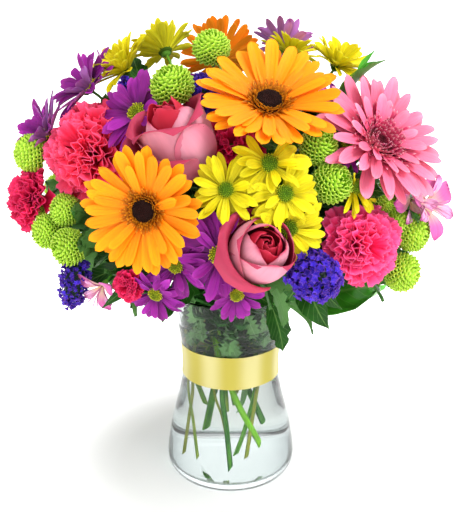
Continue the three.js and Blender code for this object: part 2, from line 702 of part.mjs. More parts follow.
// The inside of the glass from the floor up to a height, drawn in by a gap
function insideOutline(top, gap) {
  const wall = VASE_OUTLINE.filter(([, height]) => height > VASE_FLOOR + 3 && height < top);
  return [
    [0, VASE_FLOOR + gap],
    [VASE_FLOOR_RADIUS - gap, VASE_FLOOR + gap],
    ...wall.map(([radius, height]) => [radius - VASE_WALL - gap, height + (height < 20 ? 3 : 0)]),
    [outlineRadius(top) - VASE_WALL - gap, top],
  ];
}

// The glass, or the glass and some room round it
function vaseSolid(room) {
  const outside = VASE_OUTLINE.map(([radius, height]) => [radius + room, height]);
  const inside = insideOutline(VASE_HEIGHT, room).reverse();
  const rim = [outside.at(-1)[0], VASE_HEIGHT + room];
  const lip = [inside[0][0], VASE_HEIGHT + room];
  const top = room > 0 ? [rim, lip] : [];
  return lathe([[0, 0], ...outside, ...top, ...inside], VASE_SIDES);
}

// The stems stand in plain holes; where they cross, one hole like an hourglass holds them all.
function waterSolid() {
  const body = lathe([...insideOutline(WATER_LEVEL, CLEARANCE), [0, WATER_LEVEL]], VASE_SIDES);
  const crossing = lathe(
    [[0, 98], [22, 98], [15.5, TIE_HEIGHT], [37, WATER_LEVEL + 1], [0, WATER_LEVEL + 1]],
    12,
  );
  const holes = mains.map((stem) => mainTube(stem, STEM_ROOM));
  return mainBody(body.subtract(Manifold.union([crossing, ...holes])));
}

function ribbonSolid() {
  const heights = [RIBBON_LOW, ...VASE_OUTLINE.map(([, z]) => z), RIBBON_HIGH];
  const band = heights.filter((z, k, all) => z >= RIBBON_LOW && z <= RIBBON_HIGH && all.indexOf(z) === k);
  const outward = (extra) => band.map((z) => [outlineRadius(z) + CLEARANCE + extra, z]);
  const closed = [...outward(RIBBON_THICKNESS), ...outward(0).reverse()];
  closed.push(closed[0]);
  return lathe(closed, VASE_SIDES);
}

// --- leaves ---

// A leaf along +X that droops towards its tip; a lobed one runs in and out along its edge
function leafSolid(length, halfWidth, droop, lobed) {
  const count = lobed ? 3 : 4;
  const stations = [];
  for (let k = 1; k <= count; k += 1) {
    const share = k / (count + 1);
    const oval = Math.sin(Math.PI * Math.pow(share, 0.8));
    const lobe = lobed && k % 2 === 1 ? 0.5 : 1;
    const height = -droop * share * share;
    stations.push([length * share, height, halfWidth * oval * lobe, halfWidth * 0.25, 1.4]);
  }
  return bladeSolid([0, 0], stations, [length, -droop]);
}

// Puts a leaf's own +X along a direction with its upper side upwards
function leafAt(root, [azimuth, elevation], roll, leaf) {
  const frame = new THREE.Matrix4()
    .makeTranslation(root)
    .multiply(new THREE.Matrix4().makeRotationZ(radians(azimuth - 90)))
    .multiply(new THREE.Matrix4().makeRotationY(radians(-elevation)))
    .multiply(new THREE.Matrix4().makeRotationX(radians(roll)));
  return leaf.transform(frame.elements);
}

// Lobed leaves that spread from the stems at the neck, between the glass and the blooms
function neckLeaves() {
  const random = randomSource(31);
  const bearers = mains.filter((stem, k) => k % 2 === 0);
  return bearers.map((stem, k) => {
    const root = middleAt(stem, NECK_HEIGHT);
    const azimuth = azimuthOf(root) + 16 * (random() - 0.5);
    const leaf = leafSolid(70 + 16 * random(), 13, 14, true);
    return leafAt(root, [azimuth, k % 2 === 0 ? 9 : 24], 20 * (random() - 0.5), leaf);
  });
}

// Lobed leaves that hang inside the glass above the water
function glassLeaves() {
  const random = randomSource(57);
  return mains
    .filter((stem, k) => k % 5 === 2)
    .map((stem) => {
      const root = middleAt(stem, NECK_HEIGHT);
      const azimuth = azimuthOf(root) + 30 * (random() - 0.5);
      return leafAt(root, [azimuth, -62], 10 * (random() - 0.5), leafSolid(34, 10, -4, true));
    });
}

function group() {
  const bouquet = new THREE.Group();
  const mesh = (name, colour, solid, look = {}) => {
    const material = new THREE.MeshStandardMaterial({ color: COLOURS[colour], roughness: 0.7, ...look });
    const made = new THREE.Mesh(geometryOf(solid), material);
    made.name = name;
    bouquet.add(made);
  };

  const vase = vaseSolid(0);
  const clear = { roughness: 0.02, metalness: 0, transparent: true, opacity: 0.35 };
  mesh('vase_glass', 'glass', vase, clear);
  mesh('vase_water', 'water', waterSolid(), clear);
  mesh('ribbon_band', 'ribbon', ribbonSolid(), { roughness: 0.35 });

  const vaseRoom = vaseSolid(STEM_ROOM);
  const rooms = [...bloomRooms.map((room) => room.solid), vaseRoom];
  const leaves = [...neckLeaves(), ...glassLeaves()].map((leaf) => cutClear(leaf, rooms));
  mesh('stems_and_foliage', 'green', oneBody('stems', [...stemSolids, ...leaves]));

  solidsByNode.forEach((solids, node) => mesh(node, coloursByNode.get(node), oneBody(node, solids)));
  return bouquet;
}

export default group();
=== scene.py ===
"""A florist's bouquet in a clear glass vase with a ribbon band, dressed over the CAD frame.

Metres in the frame of the part: the origin is the middle of the vase's underside, +Z is up and
the bouquet faces -Y. Shapes are worked out in millimetres and scaled when a mesh is made.
"""

import math

import bpy
import numpy as np
from bpy.props import FloatProperty, FloatVectorProperty, IntProperty, PointerProperty
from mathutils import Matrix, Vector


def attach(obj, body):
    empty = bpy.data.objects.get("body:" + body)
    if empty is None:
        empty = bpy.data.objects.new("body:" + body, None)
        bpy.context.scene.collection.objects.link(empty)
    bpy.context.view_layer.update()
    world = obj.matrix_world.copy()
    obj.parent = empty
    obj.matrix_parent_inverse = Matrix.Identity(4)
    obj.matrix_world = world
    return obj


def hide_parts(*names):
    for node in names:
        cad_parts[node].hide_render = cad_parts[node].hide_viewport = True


bl_info = {
    "name": "Florist's bouquet in a glass vase",
    "version": (1, 0, 0),
    "blender": (4, 5, 0),
    "location": "3D View > Sidebar > Bouquet",
    "description": "Builds the blooms, foliage, vase, water and ribbon of a mixed bouquet",
    "category": "Add Mesh",
}

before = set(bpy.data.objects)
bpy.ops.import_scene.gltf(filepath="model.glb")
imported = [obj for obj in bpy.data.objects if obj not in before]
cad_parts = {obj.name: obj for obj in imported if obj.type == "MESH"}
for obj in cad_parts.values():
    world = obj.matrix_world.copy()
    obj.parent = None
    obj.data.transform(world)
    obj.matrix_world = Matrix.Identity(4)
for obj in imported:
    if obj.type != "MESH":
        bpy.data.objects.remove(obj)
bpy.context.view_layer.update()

MM = 0.001
HEART = np.array([0.0, 0.0, 265.0])
GOLDEN_ANGLE = math.pi * (3 - math.sqrt(5))

# The vase: [radius, height] of the outside from the foot to the rim, in millimetres
VASE_OUTLINE = [
    [62, 0], [66, 0], [70, 2.2], [72, 7], [72.3, 15], [70.6, 28], [67.5, 46], [62.6, 66],
    [58.2, 84], [55.0, 101], [53.4, 118], [53.7, 132], [55.5, 148], [57.9, 163], [60.2, 178],
    [62.6, 193], [63.5, 198.6],
]
VASE_HEIGHT = 200
VASE_FLOOR = 7

# The ribbon: its edges' heights, its radius and how many turns it makes with its lap
RIBBON_LOW, RIBBON_HIGH = 108, 144
RIBBON_RADIUS, RIBBON_TURNS = 54.2, 1.018

# The stems, as in the part's source
FOOT_HEIGHT, TIE_HEIGHT, TIE_RADIUS, TWIST = 12.6, 127, 10, 60
FOOT_RADII = [41, 28, 36]
NECK_HEIGHT, NECK_RADIUS, LEAN_REACH = 206, 46, 150
STEM_RADII = {"gerbera": 2.6, "rose": 2.5, "carnation": 2.3}
SPRAY_BLOOM = 25
SLIM_STATICE = 14
BRANCH_LOW, BRANCH_RISE, BRANCH_SPARE = 214, 8, 10

# Stems behind the front of the glass: (shade from 0 to 1, radius, points from the cut end up)
FRONT_STEMS = [
    (1.0, 3.1, [(28, -38, 40), (1, -39, 103), (-12, -14, 150), (-6, 6, 205)]),
    (0.03, 2.6, [(0, -44, 15), (-4, -40, 60), (-8, -37, 101), (2, -12, 150), (4, 0, 205)]),
    (0.5, 1.9, [(-44, -22, 19), (-40, -22, 60), (-36, -20, 100), (-40, -14, 150), (-40, -12, 206)]),
    (0.4, 1.7, [(-31, -32, 20), (-36, -27, 60), (-41, -16, 98), (-30, -10, 150), (-30, 0, 205)]),
    (0.5, 2.0, [(15, -42, 26), (20, -39, 60), (26, -34, 100), (34, -20, 150), (40, -10, 206)]),
    (0.16, 2.2, [(5, -42, 30), (14, -39, 58), (24, -30, 104), (20, -6, 150), (10, 0, 205)]),
    (0.55, 1.3, [(-3, -36, 40), (-8, -36, 70), (-16, -37, 101), (-12, -14, 150), (-8, 0, 205)]),
    (0.3, 2.0, [(-18, 26, 56), (-22, 22, 76), (-26, 14, 101), (-16, 0, 150), (-10, 0, 205)]),
]

# How far the stem's end lies behind each bloom: (millimetres, share of its radius)
SEATS = {
    "gerbera": (12, 0), "daisy": (6, 0), "alstroemeria": (8, 0), "carnation": (0, 0.66),
    "rose": (0, 1.05), "button": (0, 0.82), "statice": (0, 1.25), "leaf": (0, 0),
    "leaf_pair": (0, 0),
}

# Every bloom: node, kind, colour, place [azimuth, elevation, reach from the heart], the way
# that it faces, radius in millimetres, turn about its own axis in degrees
BLOOMS = [
    ("daisies_yellow_front", "daisy", "yellow", (9, 23.5, 190), (6, 16), 27, 0),
    ("daisies_yellow_front", "daisy", "yellow", (-1, 18, 187), (0, 15), 24, 14),
    ("daisies_yellow_front", "daisy", "yellow", (12.3, 17, 188), (9, 13), 26, 8),
    ("daisies_yellow_front", "daisy", "yellow", (13.6, 9.5, 180), (16, 4), 28, 3),
    ("gerbera_orange_top", "gerbera", "orange", (10.5, 38, 194), (5, 42), 50, 4),
    ("gerbera_orange_left", "gerbera", "orange", (-18, 12.8, 198), (-12, -3), 42, 9),
    ("gerbera_pink", "gerbera", "pink", (42, 27.8, 196), (26, 30), 52, 0),
    ("rose_lower", "rose", "rose", (6.6, 4.2, 180), (22, 33), 25.5, 165),
    ("rose_upper", "rose", "rose", (-14.2, 30.5, 178), (-42, 56), 30.5, 218),
    ("button_chrysanthemum_top", "button", "button", (-7, 53, 201), (-7, 53), 15.5, 0),
    ("button_chrysanthemum_left", "button", "button", (-18, 43, 192), (-18, 43), 17.5, 20),
    ("button_chrysanthemums_middle", "button", "button", (24, 28.5, 182), (24, 29), 15.5, 50),
    ("button_chrysanthemums_middle", "button", "button", (26, 19.5, 181), (26, 19), 16.5, 10),
    ("button_chrysanthemum_far_left", "button", "button", (-61, 23, 209), (-61, 23), 17.5, 0),
    ("button_chrysanthemums_left", "button", "button", (-63, 10, 192), (-63, 11), 9, 30),
    ("button_chrysanthemums_left", "button", "button", (-53, 5.5, 191), (-53, 5), 15.5, 15),
    ("button_chrysanthemums_left", "button", "button", (-48, 11.5, 184), (-48, 12), 14.5, 40),
    ("button_chrysanthemums_left", "button", "button", (-45, 2.5, 184), (-45, 2), 16.5, 5),
    ("button_chrysanthemums_right", "button", "button", (46.5, 15, 178), (46, 15), 13.5, 22),
    ("button_chrysanthemums_right", "button", "button", (49, 8, 181), (49, 8), 15.5, 33),
    ("button_chrysanthemums_right", "button", "button", (52, 5.5, 191), (52, 6), 17.5, 12),
    ("button_chrysanthemum_low_right", "button", "button", (49.5, -4.5, 188), (49, -5), 17.5, 48),
    ("carnation_coral", "carnation", "coral", (-46.6, 27.8, 184), (-34, 20), 42, 0),
    ("carnation_pink", "carnation", "carnation_pink", (35, 4, 180), (24, 12), 33, 10),
    ("carnation_crimson_left", "carnation", "crimson", (-61, 12.5, 203), (-50, 12), 27, 5),
    ("carnation_crimson_middle", "carnation", "crimson", (0.5, 33, 166), (4, 30), 25, 0),
    ("carnation_crimson_low", "carnation", "crimson", (-27, -6, 176), (-27, -6), 13, 0),
    ("daisy_yellow_right", "daisy", "yellow", (32, 18, 187), (34, 10), 24, 5),
    ("daisy_yellow_far_left", "daisy", "yellow", (-44, 50, 197), (-45, 42), 29, 0),
    ("daisy_yellow_top_left", "daisy", "yellow", (-37, 61, 192), (-140, 60), 28, 7),
    ("daisy_yellow_top_right", "daisy", "yellow", (45, 51, 199), (35, 50), 27, 11),
    ("daisy_yellow_top", "daisy", "yellow", (58, 69, 186), (60, 70), 27, 0),
    ("daisies_purple_low", "daisy", "purple", (-2.5, 3.5, 177), (-8, 0), 32, 0),
    ("daisies_purple_low", "daisy", "purple", (-13.5, 0.5, 173), (-14, -8), 25, 9),
    ("daisies_purple_low", "daisy", "purple", (-20, -8, 170), (-18, -18), 23, 0),
    ("daisies_purple_low", "daisy", "purple", (1.5, -6.5, 174), (0, -12), 21, 20),
    ("daisy_purple_middle_left", "daisy", "purple", (-28.5, 37, 187), (-20, 20), 31, 6),
    ("daisy_purple_middle_left", "daisy", "purple", (-24, 49, 178), (-30, 60), 23, 0),
    ("daisy_purple_upper_left", "daisy", "purple", (-52, 42, 203), (-46, 36), 33, 0),
    ("daisy_purple_far_left", "daisy", "purple", (-60.8, 28.3, 205), (-50, 26), 34, 12),
    ("daisy_purple_top", "daisy", "purple", (77, 74, 190), (150, 60), 29, 0),
    ("daisies_purple_right", "daisy", "purple", (36.6, 38.5, 183), (34, 32), 27, 0),
    ("daisies_purple_right", "daisy", "purple", (34, 29.3, 183), (32, 24), 23, 10),
    ("gerbera_orange_back", "gerbera", "orange", (-160, 80, 183), (-175, 48), 41, 0),
    ("statice_left", "statice", "statice", (-45, -6.5, 183), (-58, -78), 14, 0),
    ("statice_right", "statice", "statice", (19.5, -1.5, 182), (20, -8), 20, 0),
    ("statice_middle", "statice", "statice", (-10.5, 46, 172), (-10, 48), 16, 0),
    ("alstroemeria_right", "alstroemeria", "alstroemeria", (54.5, 11.5, 202), (38, 8), 25, 0),
    ("alstroemeria_right", "alstroemeria", "alstroemeria", (51, 13, 196), (26, -8), 20, 30),
    ("alstroemeria_low", "alstroemeria", "alstroemeria", (-37.5, -8, 174), (-30, -28), 18, 0),
    ("gerbera_orange_side", "gerbera", "orange", (108, 34, 182), (108, 30), 46, 0),
    ("gerbera_pink_back", "gerbera", "pink", (-172, 38, 180), (-172, 34), 48, 0),
    ("rose_right", "rose", "rose", (84, 8, 180), (84, 22), 27, 90),
    ("rose_back", "rose", "rose", (162, 8, 176), (162, 24), 28, 30),
    ("rose_left", "rose", "rose", (-112, 36, 182), (-110, 44), 28, 150),
    ("carnation_pink_back", "carnation", "carnation_pink", (122, 4, 176), (122, 8), 32, 0),
    ("carnation_coral_back", "carnation", "coral", (-132, 8, 180), (-132, 10), 34, 20),
    ("daisies_yellow_back", "daisy", "yellow", (-165, 4, 178), (-165, 4), 26, 0),
    ("daisies_yellow_back", "daisy", "yellow", (-155, 12, 179), (-158, 10), 26, 8),
    ("daisies_purple_back", "daisy", "purple", (143, 35, 184), (144, 38), 28, 0),
    ("daisies_purple_back", "daisy", "purple", (150, 43, 185), (146, 44), 28, 6),
    ("button_chrysanthemums_back", "button", "button", (-98, 6, 186), (-98, 6), 17, 0),
    ("button_chrysanthemums_back", "button", "button", (-103, 12, 187), (-103, 12), 16, 25),
    ("statice_back", "statice", "statice", (-102, 56, 182), (-100, 58), 17, 0),
    ("statice_back", "statice", "statice", (-114, 52, 180), (-114, 50), 15, 0),
    ("statice_back", "statice", "statice", (-110, 42, 182), (-110, 42), 15, 0),
    ("daisies_yellow_back", "daisy", "yellow", (-161, 21, 180), (-158, 22), 25, 3),
    ("daisies_yellow_back", "daisy", "yellow", (-172, 13, 184), (-176, 12), 24, 5),
    ("daisies_yellow_back", "daisy", "yellow", (-148, 3, 182), (-146, 0), 24, 9),
    ("daisies_purple_back", "daisy", "purple", (135, 44, 182), (132, 46), 26, 3),
    ("daisies_purple_back", "daisy", "purple", (158, 34, 184), (160, 34), 26, 9),
    ("daisies_purple_back", "daisy", "purple", (146, 25, 186), (145, 24), 25, 2),
    ("button_chrysanthemums_back", "button", "button", (-109, 3, 190), (-109, 3), 16, 5),
    ("button_chrysanthemums_back", "button", "button", (-91, 14, 188), (-91, 14), 15, 15),
    ("button_chrysanthemums_back", "button", "button", (-99, 20, 186), (-99, 20), 14.5, 35),
    ("leaf_large", "leaf", "leaf", (36.8, -29, 110), (84, 13), 84, 32),
    ("leaves_top_right", "leaf_pair", "leaf", (43, 44.5, 208), (60, 42), 19, 60),
]

# How far the petals of some daisies stand up, in radians more than the rest
CLOSED_DAISIES = {
    "daisy_yellow_far_left": 0.45, "daisy_yellow_top_left": 0.35, "daisy_purple_far_left": 0.3,
    "daisy_yellow_top_right": 0.35, "daisy_yellow_top": 0.3, "daisy_purple_upper_left": 0.2,
    "daisy_purple_top": 0.3,
}


def linear(code):
    """The scene-linear colour of a six-figure hex code."""
    shares = [int(code[k : k + 2], 16) / 255 for k in (0, 2, 4)]
    return tuple(c / 12.92 if c <= 0.04045 else ((c + 0.055) / 1.055) ** 2.4 for c in shares)


def colour_property(name, description, code):
    """A colour that the user can change."""
    return FloatVectorProperty(
        name=name, description=description, subtype="COLOR", size=3, min=0, max=1,
        default=linear(code),
    )


class BouquetColours(bpy.types.PropertyGroup):
    """The main colour of each kind of bloom and of the trimmings."""

    orange: colour_property("Orange gerbera", "Middle of an orange gerbera's petals", "FF9000")
    pink: colour_property("Pink gerbera", "Middle of a pink gerbera's petals", "EE7090")
    rose: colour_property("Rose", "Outside of a rose's petals", "DE90A2")
    coral: colour_property("Coral carnation", "Petals of a coral carnation", "FF3A62")
    carnation_pink: colour_property("Pink carnation", "Petals of a pink carnation", "FF3C7C")
    crimson: colour_property("Crimson carnation", "Petals of a crimson carnation", "DC164E")
    yellow: colour_property("Yellow daisy", "Petals of a yellow daisy", "DCCA0A")
    purple: colour_property("Purple daisy", "Petals of a purple daisy", "8A1C88")
    button: colour_property("Button bloom", "Petals of a green button bloom", "9CD22A")
    statice: colour_property("Statice", "Florets of the statice", "3B22A8")
    alstroemeria: colour_property("Alstroemeria", "Petals of the alstroemeria", "D464A6")
    leaf: colour_property("Leaves", "Upper side of the leaves", "275F18")
    stem: colour_property("Stems", "Fresh green stems", "5E9A2C")
    ribbon: colour_property("Ribbon", "Satin ribbon round the vase", "BEB04A")


class BouquetSizes(bpy.types.PropertyGroup):
    """Sizes and counts that change how full the bouquet looks."""

    petal_thickness: FloatProperty(
        name="Petal thickness", description="Thickness of a plain petal", subtype="DISTANCE",
        unit="LENGTH", default=0.0004, min=0.0001, max=0.002,
    )
    ribbon_thickness: FloatProperty(
        name="Ribbon thickness", description="Thickness of the ribbon", subtype="DISTANCE",
        unit="LENGTH", default=0.0005, min=0.0002, max=0.002,
    )
    wall: FloatProperty(
        name="Glass wall", description="Thickness of the vase's wall", subtype="DISTANCE",
        unit="LENGTH", default=0.0032, min=0.002, max=0.006,
    )
    water_level: FloatProperty(
        name="Water level", description="Height of the water above the table",
        subtype="DISTANCE", unit="LENGTH", default=0.1675, min=0.05, max=0.19,
    )
    leaves_per_stem: IntProperty(
        name="Leaves per stem", description="How many leaves a stem carries among the blooms",
        default=4, min=0, max=8,
    )


# --- arrays: directions, turns and curves ---


def direction(azimuth, elevation):
    """Unit vector: (sin az cos el, -cos az cos el, sin el), so azimuth 0 is the front."""
    az, el = np.broadcast_arrays(np.radians(azimuth), np.radians(elevation))
    return np.stack([np.sin(az) * np.cos(el), -np.cos(az) * np.cos(el), np.sin(el)], axis=-1)


def turn(axis, angle):
    """Rotation matrices about one axis by an array of angles in radians."""
    angle = np.atleast_1d(np.asarray(angle, float))
    first, second = [(1, 2), (2, 0), (0, 1)][axis]
    made = np.zeros((len(angle), 3, 3))
    made[:, axis, axis] = 1
    made[:, first, first] = made[:, second, second] = np.cos(angle)
    made[:, first, second] = -np.sin(angle)
    made[:, second, first] = np.sin(angle)
    return made


def unit(vectors):
    """Vectors scaled to length one."""
    return vectors / np.maximum(np.linalg.norm(vectors, axis=-1, keepdims=True), 1e-12)


def frames_along(outward, towards):
    """Frames whose first axis is outward and whose third leans towards a given direction."""
    x = unit(outward)
    z = unit(towards - np.sum(towards * x, axis=-1, keepdims=True) * x)
    return np.stack([x, np.cross(z, x), z], axis=-1)


def bloom_frame(face, spin):
    """Turns a bloom's own +Z to the way that it faces, with its own +Y upwards."""
    azimuth, elevation = np.radians(face)
    turned = turn(2, azimuth) @ turn(0, math.pi / 2 - elevation) @ turn(2, math.radians(spin))
    return turned[0]


def curve_through(stations, values, at):
    """Smooth curve through the values: a cubic between stations whose slope at each is the
    mean slope of its neighbours."""
    xs, ys = np.asarray(stations, float), np.asarray(values, float)
    slopes = np.gradient(ys, xs)
    k = np.clip(np.searchsorted(xs, at, side="right") - 1, 0, len(xs) - 2)
    width = xs[k + 1] - xs[k]
    t = (at - xs[k]) / width
    return (
        (2 * t**3 - 3 * t**2 + 1) * ys[k]
        + (t**3 - 2 * t**2 + t) * width * slopes[k]
        + (3 * t**2 - 2 * t**3) * ys[k + 1]
        + (t**3 - t**2) * width * slopes[k + 1]
    )


def path_through(points, steps):
    """Catmull-Rom path through points, with knots spaced by the root of their distance."""
    points = np.asarray(points, float)
    ends = np.array([2 * points[0] - points[1], *points, 2 * points[-1] - points[-2]])
    gaps = np.sqrt(np.linalg.norm(np.diff(ends, axis=0), axis=1))
    knots = np.concatenate([[0], np.cumsum(gaps)])
    at = np.linspace(knots[1], knots[-2], steps * 4)
    k = np.clip(np.searchsorted(knots, at, side="right") - 1, 1, len(ends) - 3)

    def blend(a, b, knot_a, knot_b):
        share = ((at - knot_a) / (knot_b - knot_a))[:, None]
        return (1 - share) * a + share * b

    a1 = blend(ends[k - 1], ends[k], knots[k - 1], knots[k])
    a2 = blend(ends[k], ends[k + 1], knots[k], knots[k + 1])
    a3 = blend(ends[k + 1], ends[k + 2], knots[k + 1], knots[k + 2])
    b1 = blend(a1, a2, knots[k - 1], knots[k + 1])
    b2 = blend(a2, a3, knots[k], knots[k + 2])
    fine = blend(b1, b2, knots[k], knots[k + 1])
    walked = np.concatenate([[0], np.cumsum(np.linalg.norm(np.diff(fine, axis=0), axis=1))])
    even = np.linspace(0, walked[-1], steps)
    return np.stack([np.interp(even, walked, fine[:, axis]) for axis in range(3)], axis=-1)


# --- skins: closed meshes gathered from whole arrays ---


class Skin:
    """The faces of one piece. A vertex has a UV place (across, along) and marks: a random
    share of its petal, 1 on the back of a petal, and a share that its maker chooses."""

    def __init__(self):
        self.points, self.uvs, self.marks = [], [], []
        self.quads, self.triangles = [], []
        self.quad_finish, self.triangle_finish = [], []
        self.count = 0

    def add(self, points, uvs, marks, quads, triangles=None, finish=0):
        """Adds vertices with their faces, numbered from the first of these vertices."""
        self.points.append(points.reshape(-1, 3))
        self.uvs.append(uvs.reshape(-1, 2))
        self.marks.append(marks.reshape(-1, 3))
        self.quads.append(quads.reshape(-1, 4) + self.count)
        self.quad_finish.append(np.full(quads.size // 4, finish))
        if triangles is not None:
            self.triangles.append(triangles.reshape(-1, 3) + self.count)
            self.triangle_finish.append(np.full(triangles.size // 3, finish))
        self.count += points.size // 3

    def take(self, other, matrix, place, finish_shift=0):
        """Adds another skin, turned and moved."""
        if other.count == 0:
            return
        points = np.concatenate(other.points) @ matrix.T + place
        self.points.append(points)
        self.uvs.extend(other.uvs)
        self.marks.extend(other.marks)
        self.quads.extend(q + self.count for q in other.quads)
        self.triangles.extend(t + self.count for t in other.triangles)
        self.quad_finish.extend(f + finish_shift for f in other.quad_finish)
        self.triangle_finish.extend(f + finish_shift for f in other.triangle_finish)
        self.count += len(points)


def sheet_faces(rows, columns):
    """Quads of a closed sheet: the upper grid, the lower grid turned over, and four rims."""
    upper = np.arange(rows * columns).reshape(rows, columns)
    lower = upper + rows * columns

    def grid(g):
        return np.stack([g[:-1, :-1], g[1:, :-1], g[1:, 1:], g[:-1, 1:]], axis=-1).reshape(-1, 4)

    def rim(a, b):
        return np.stack([a[:-1], b[:-1], b[1:], a[1:]], axis=-1)

    return np.concatenate([
        grid(upper), grid(lower)[:, ::-1],
        rim(upper[:, 0], lower[:, 0]), rim(lower[:, -1], upper[:, -1]),
        rim(lower[0], upper[0]), rim(upper[-1], lower[-1]),
    ])


def make_room(grid, near):
    """Petals among rounded neighbours: a point inside one moves straight out to its surface,
    and a petal that is mostly buried is left off. Each neighbour is its middle and its
    three half widths as the columns of a matrix. Returns the petals and which are kept."""
    kept = np.ones(len(grid), bool)
    for middle, axes in near:
        inverse = np.linalg.inv(axes)
        scaled = (grid - middle) @ inverse.T
        reach = np.linalg.norm(scaled, axis=-1, keepdims=True)
        inside = reach < 1
        kept &= inside.mean(axis=(1, 2, 3)) < 0.4
        out = (scaled / np.maximum(reach, 0.15)) @ axes.T + middle
        grid = np.where(inside, out, grid)
    return grid[kept], kept


def add_sheets(skin, upper, thickness, chance, share=0.0, finish=0, near=()):
    """Closed thin petals from their upper grids [petal, along, across, xyz]: the under side
    lies a thickness below along the grid's own normal, and thins out towards its edges."""
    if near:
        upper, kept = make_room(upper, near)
        chance = np.broadcast_to(chance, kept.shape)[kept]
        share = np.broadcast_to(share, kept.shape)[kept]
        if not kept.any():
            return
    petals, rows, columns, _ = upper.shape
    along = np.gradient(upper, axis=1)
    across = np.gradient(upper, axis=2)
    normal = unit(np.cross(along, across))
    s = np.linspace(-1, 1, columns)[None, None, :, None]
    lower = upper - normal * thickness * (1 - 0.55 * s**2)
    points = np.stack([upper, lower], axis=1)
    u, v = np.meshgrid(np.linspace(0, 1, columns), np.linspace(0, 1, rows))
    uvs = np.broadcast_to(np.stack([u, v], axis=-1), (petals, 2, rows, columns, 2))
    marks = np.zeros((petals, 2, rows, columns, 3))
    marks[..., 0] = np.asarray(chance).reshape(-1, 1, 1, 1)
    marks[:, 1, ..., 1] = 1
    marks[..., 2] = np.asarray(share).reshape(-1, 1, 1, 1)
    first = (np.arange(petals) * 2 * rows * columns)[:, None, None]
    skin.add(points, uvs, marks, sheet_faces(rows, columns)[None] + first, finish=finish)


def column(values, count):
    """One value per petal, ready to combine with its grid."""
    return np.broadcast_to(np.asarray(values, float).reshape(-1, 1, 1), (count, 1, 1))


def petal_grid(
    count, rows, columns, root, length, height, pitch, bend, half_width, outline, cup=0.0,
    ruffle=0.0, turns=2.0, phase=0.0, fringe=0.0, rounding=0.3, grooves=0.0, sweep=0.0,
    twist=0.0,
):
    """Petals along their own +X. The middle line leaves the root at the pitch and bends as
    the share along it to the power 1.5. Half the width is the outline's share of it. Across
    the petal, the surface rises by the cup times the width times the share across squared, by
    grooves as a cosine, and by a ruffle whose sine grows towards the tip. The tip is drawn
    back at its corners by the rounding, and cut in teeth by the fringe."""
    t = 1 - (1 - np.linspace(0, 1, rows)[None, :, None]) ** 1.6
    s = np.linspace(-1, 1, columns)[None, None, :]
    pitch, bend, length, half_width, phase, turns = (
        column(v, count) for v in (pitch, bend, length, half_width, phase, turns)
    )
    angle = pitch + bend * t**1.5
    middle = (angle[:, 1:] + angle[:, :-1]) / 2
    zero = np.zeros((count, 1, 1))
    step = length * np.diff(t, axis=1)
    out = column(root, count) + np.concatenate([zero, np.cumsum(np.cos(middle) * step, 1)], 1)
    rise = column(height, count) + np.concatenate([zero, np.cumsum(np.sin(middle) * step, 1)], 1)
    shares = np.interp(t[0, :, 0], *outline)[None, :, None]
    width = half_width * np.maximum(shares, 0.03)
    teeth = np.where(np.arange(columns) % 2 == 0, 1.0, -1.0)[None, None, :]
    lift = (
        column(cup, count) * width * s**2
        + column(grooves, count) * width * np.cos(3 * np.pi * s) * (1 - t**6)
        + column(ruffle, count) * t**1.6 * np.sin(2 * np.pi * turns * s + phase)
        + column(twist, count) * width * s * t
    )
    forward = fringe * length * teeth * t**4 - rounding * half_width * s**2 * t**3
    side = s * width + column(sweep, count) * length * t**2
    x = out - lift * np.sin(angle) + forward * np.cos(angle)
    z = rise + lift * np.cos(angle) + forward * np.sin(angle)
    return np.stack(np.broadcast_arrays(x, side + 0 * x, z), axis=-1)


def carry(grids, matrices, places=0.0):
    """Each petal's grid turned by its own matrix and moved to its own place."""
    turned = np.einsum("pij,prcj->prci", matrices, grids)
    return turned + np.asarray(places, float).reshape(-1, 1, 1, 3) if np.ndim(places) else turned


def cup_grid(count, rows, columns, azimuth, radii, heights, spread, peak, curl, spiral, tilt=0):
    """Petals that wrap round the bloom's axis. The distance from it and the height follow
    smooth curves up the petal, the spread is half the angle that it covers, its upper edge
    falls away from the middle by the peak, and its side edges stand out by the curl. A wide
    petal keeps its width nearly to its rim, and tilts down towards its far side."""
    t = 1 - (1 - np.linspace(0, 1, rows)) ** 1.5
    s = np.linspace(-1, 1, columns)[None, None, :]
    stations = np.array([0, 0.25, 0.5, 0.75, 0.9, 1])
    reach = curve_through(stations, radii, t)[None, :, None]
    height = curve_through(stations, heights, t)[None, :, None]
    t = t[None, :, None]
    share = 0.35 + 0.65 * np.sin(np.pi * (0.18 + (0.44 if tilt else 0.74) * t**1.3))
    open_angle = column(spread, count) * share * np.sqrt(1 - (0.97 if tilt else 0.6) * t**9)
    angle = column(azimuth, count) + open_angle * s
    edge = np.abs(s) ** 3
    distance = reach + column(curl, count) * edge * t**2 + column(spiral, count) * s
    z = height - column(peak, count) * np.abs(s) ** 2.2 * t**2 - tilt * s * t**2
    x, y = distance * np.cos(angle), distance * np.sin(angle)
    return np.stack(np.broadcast_arrays(x, y, z + 0 * x), axis=-1)


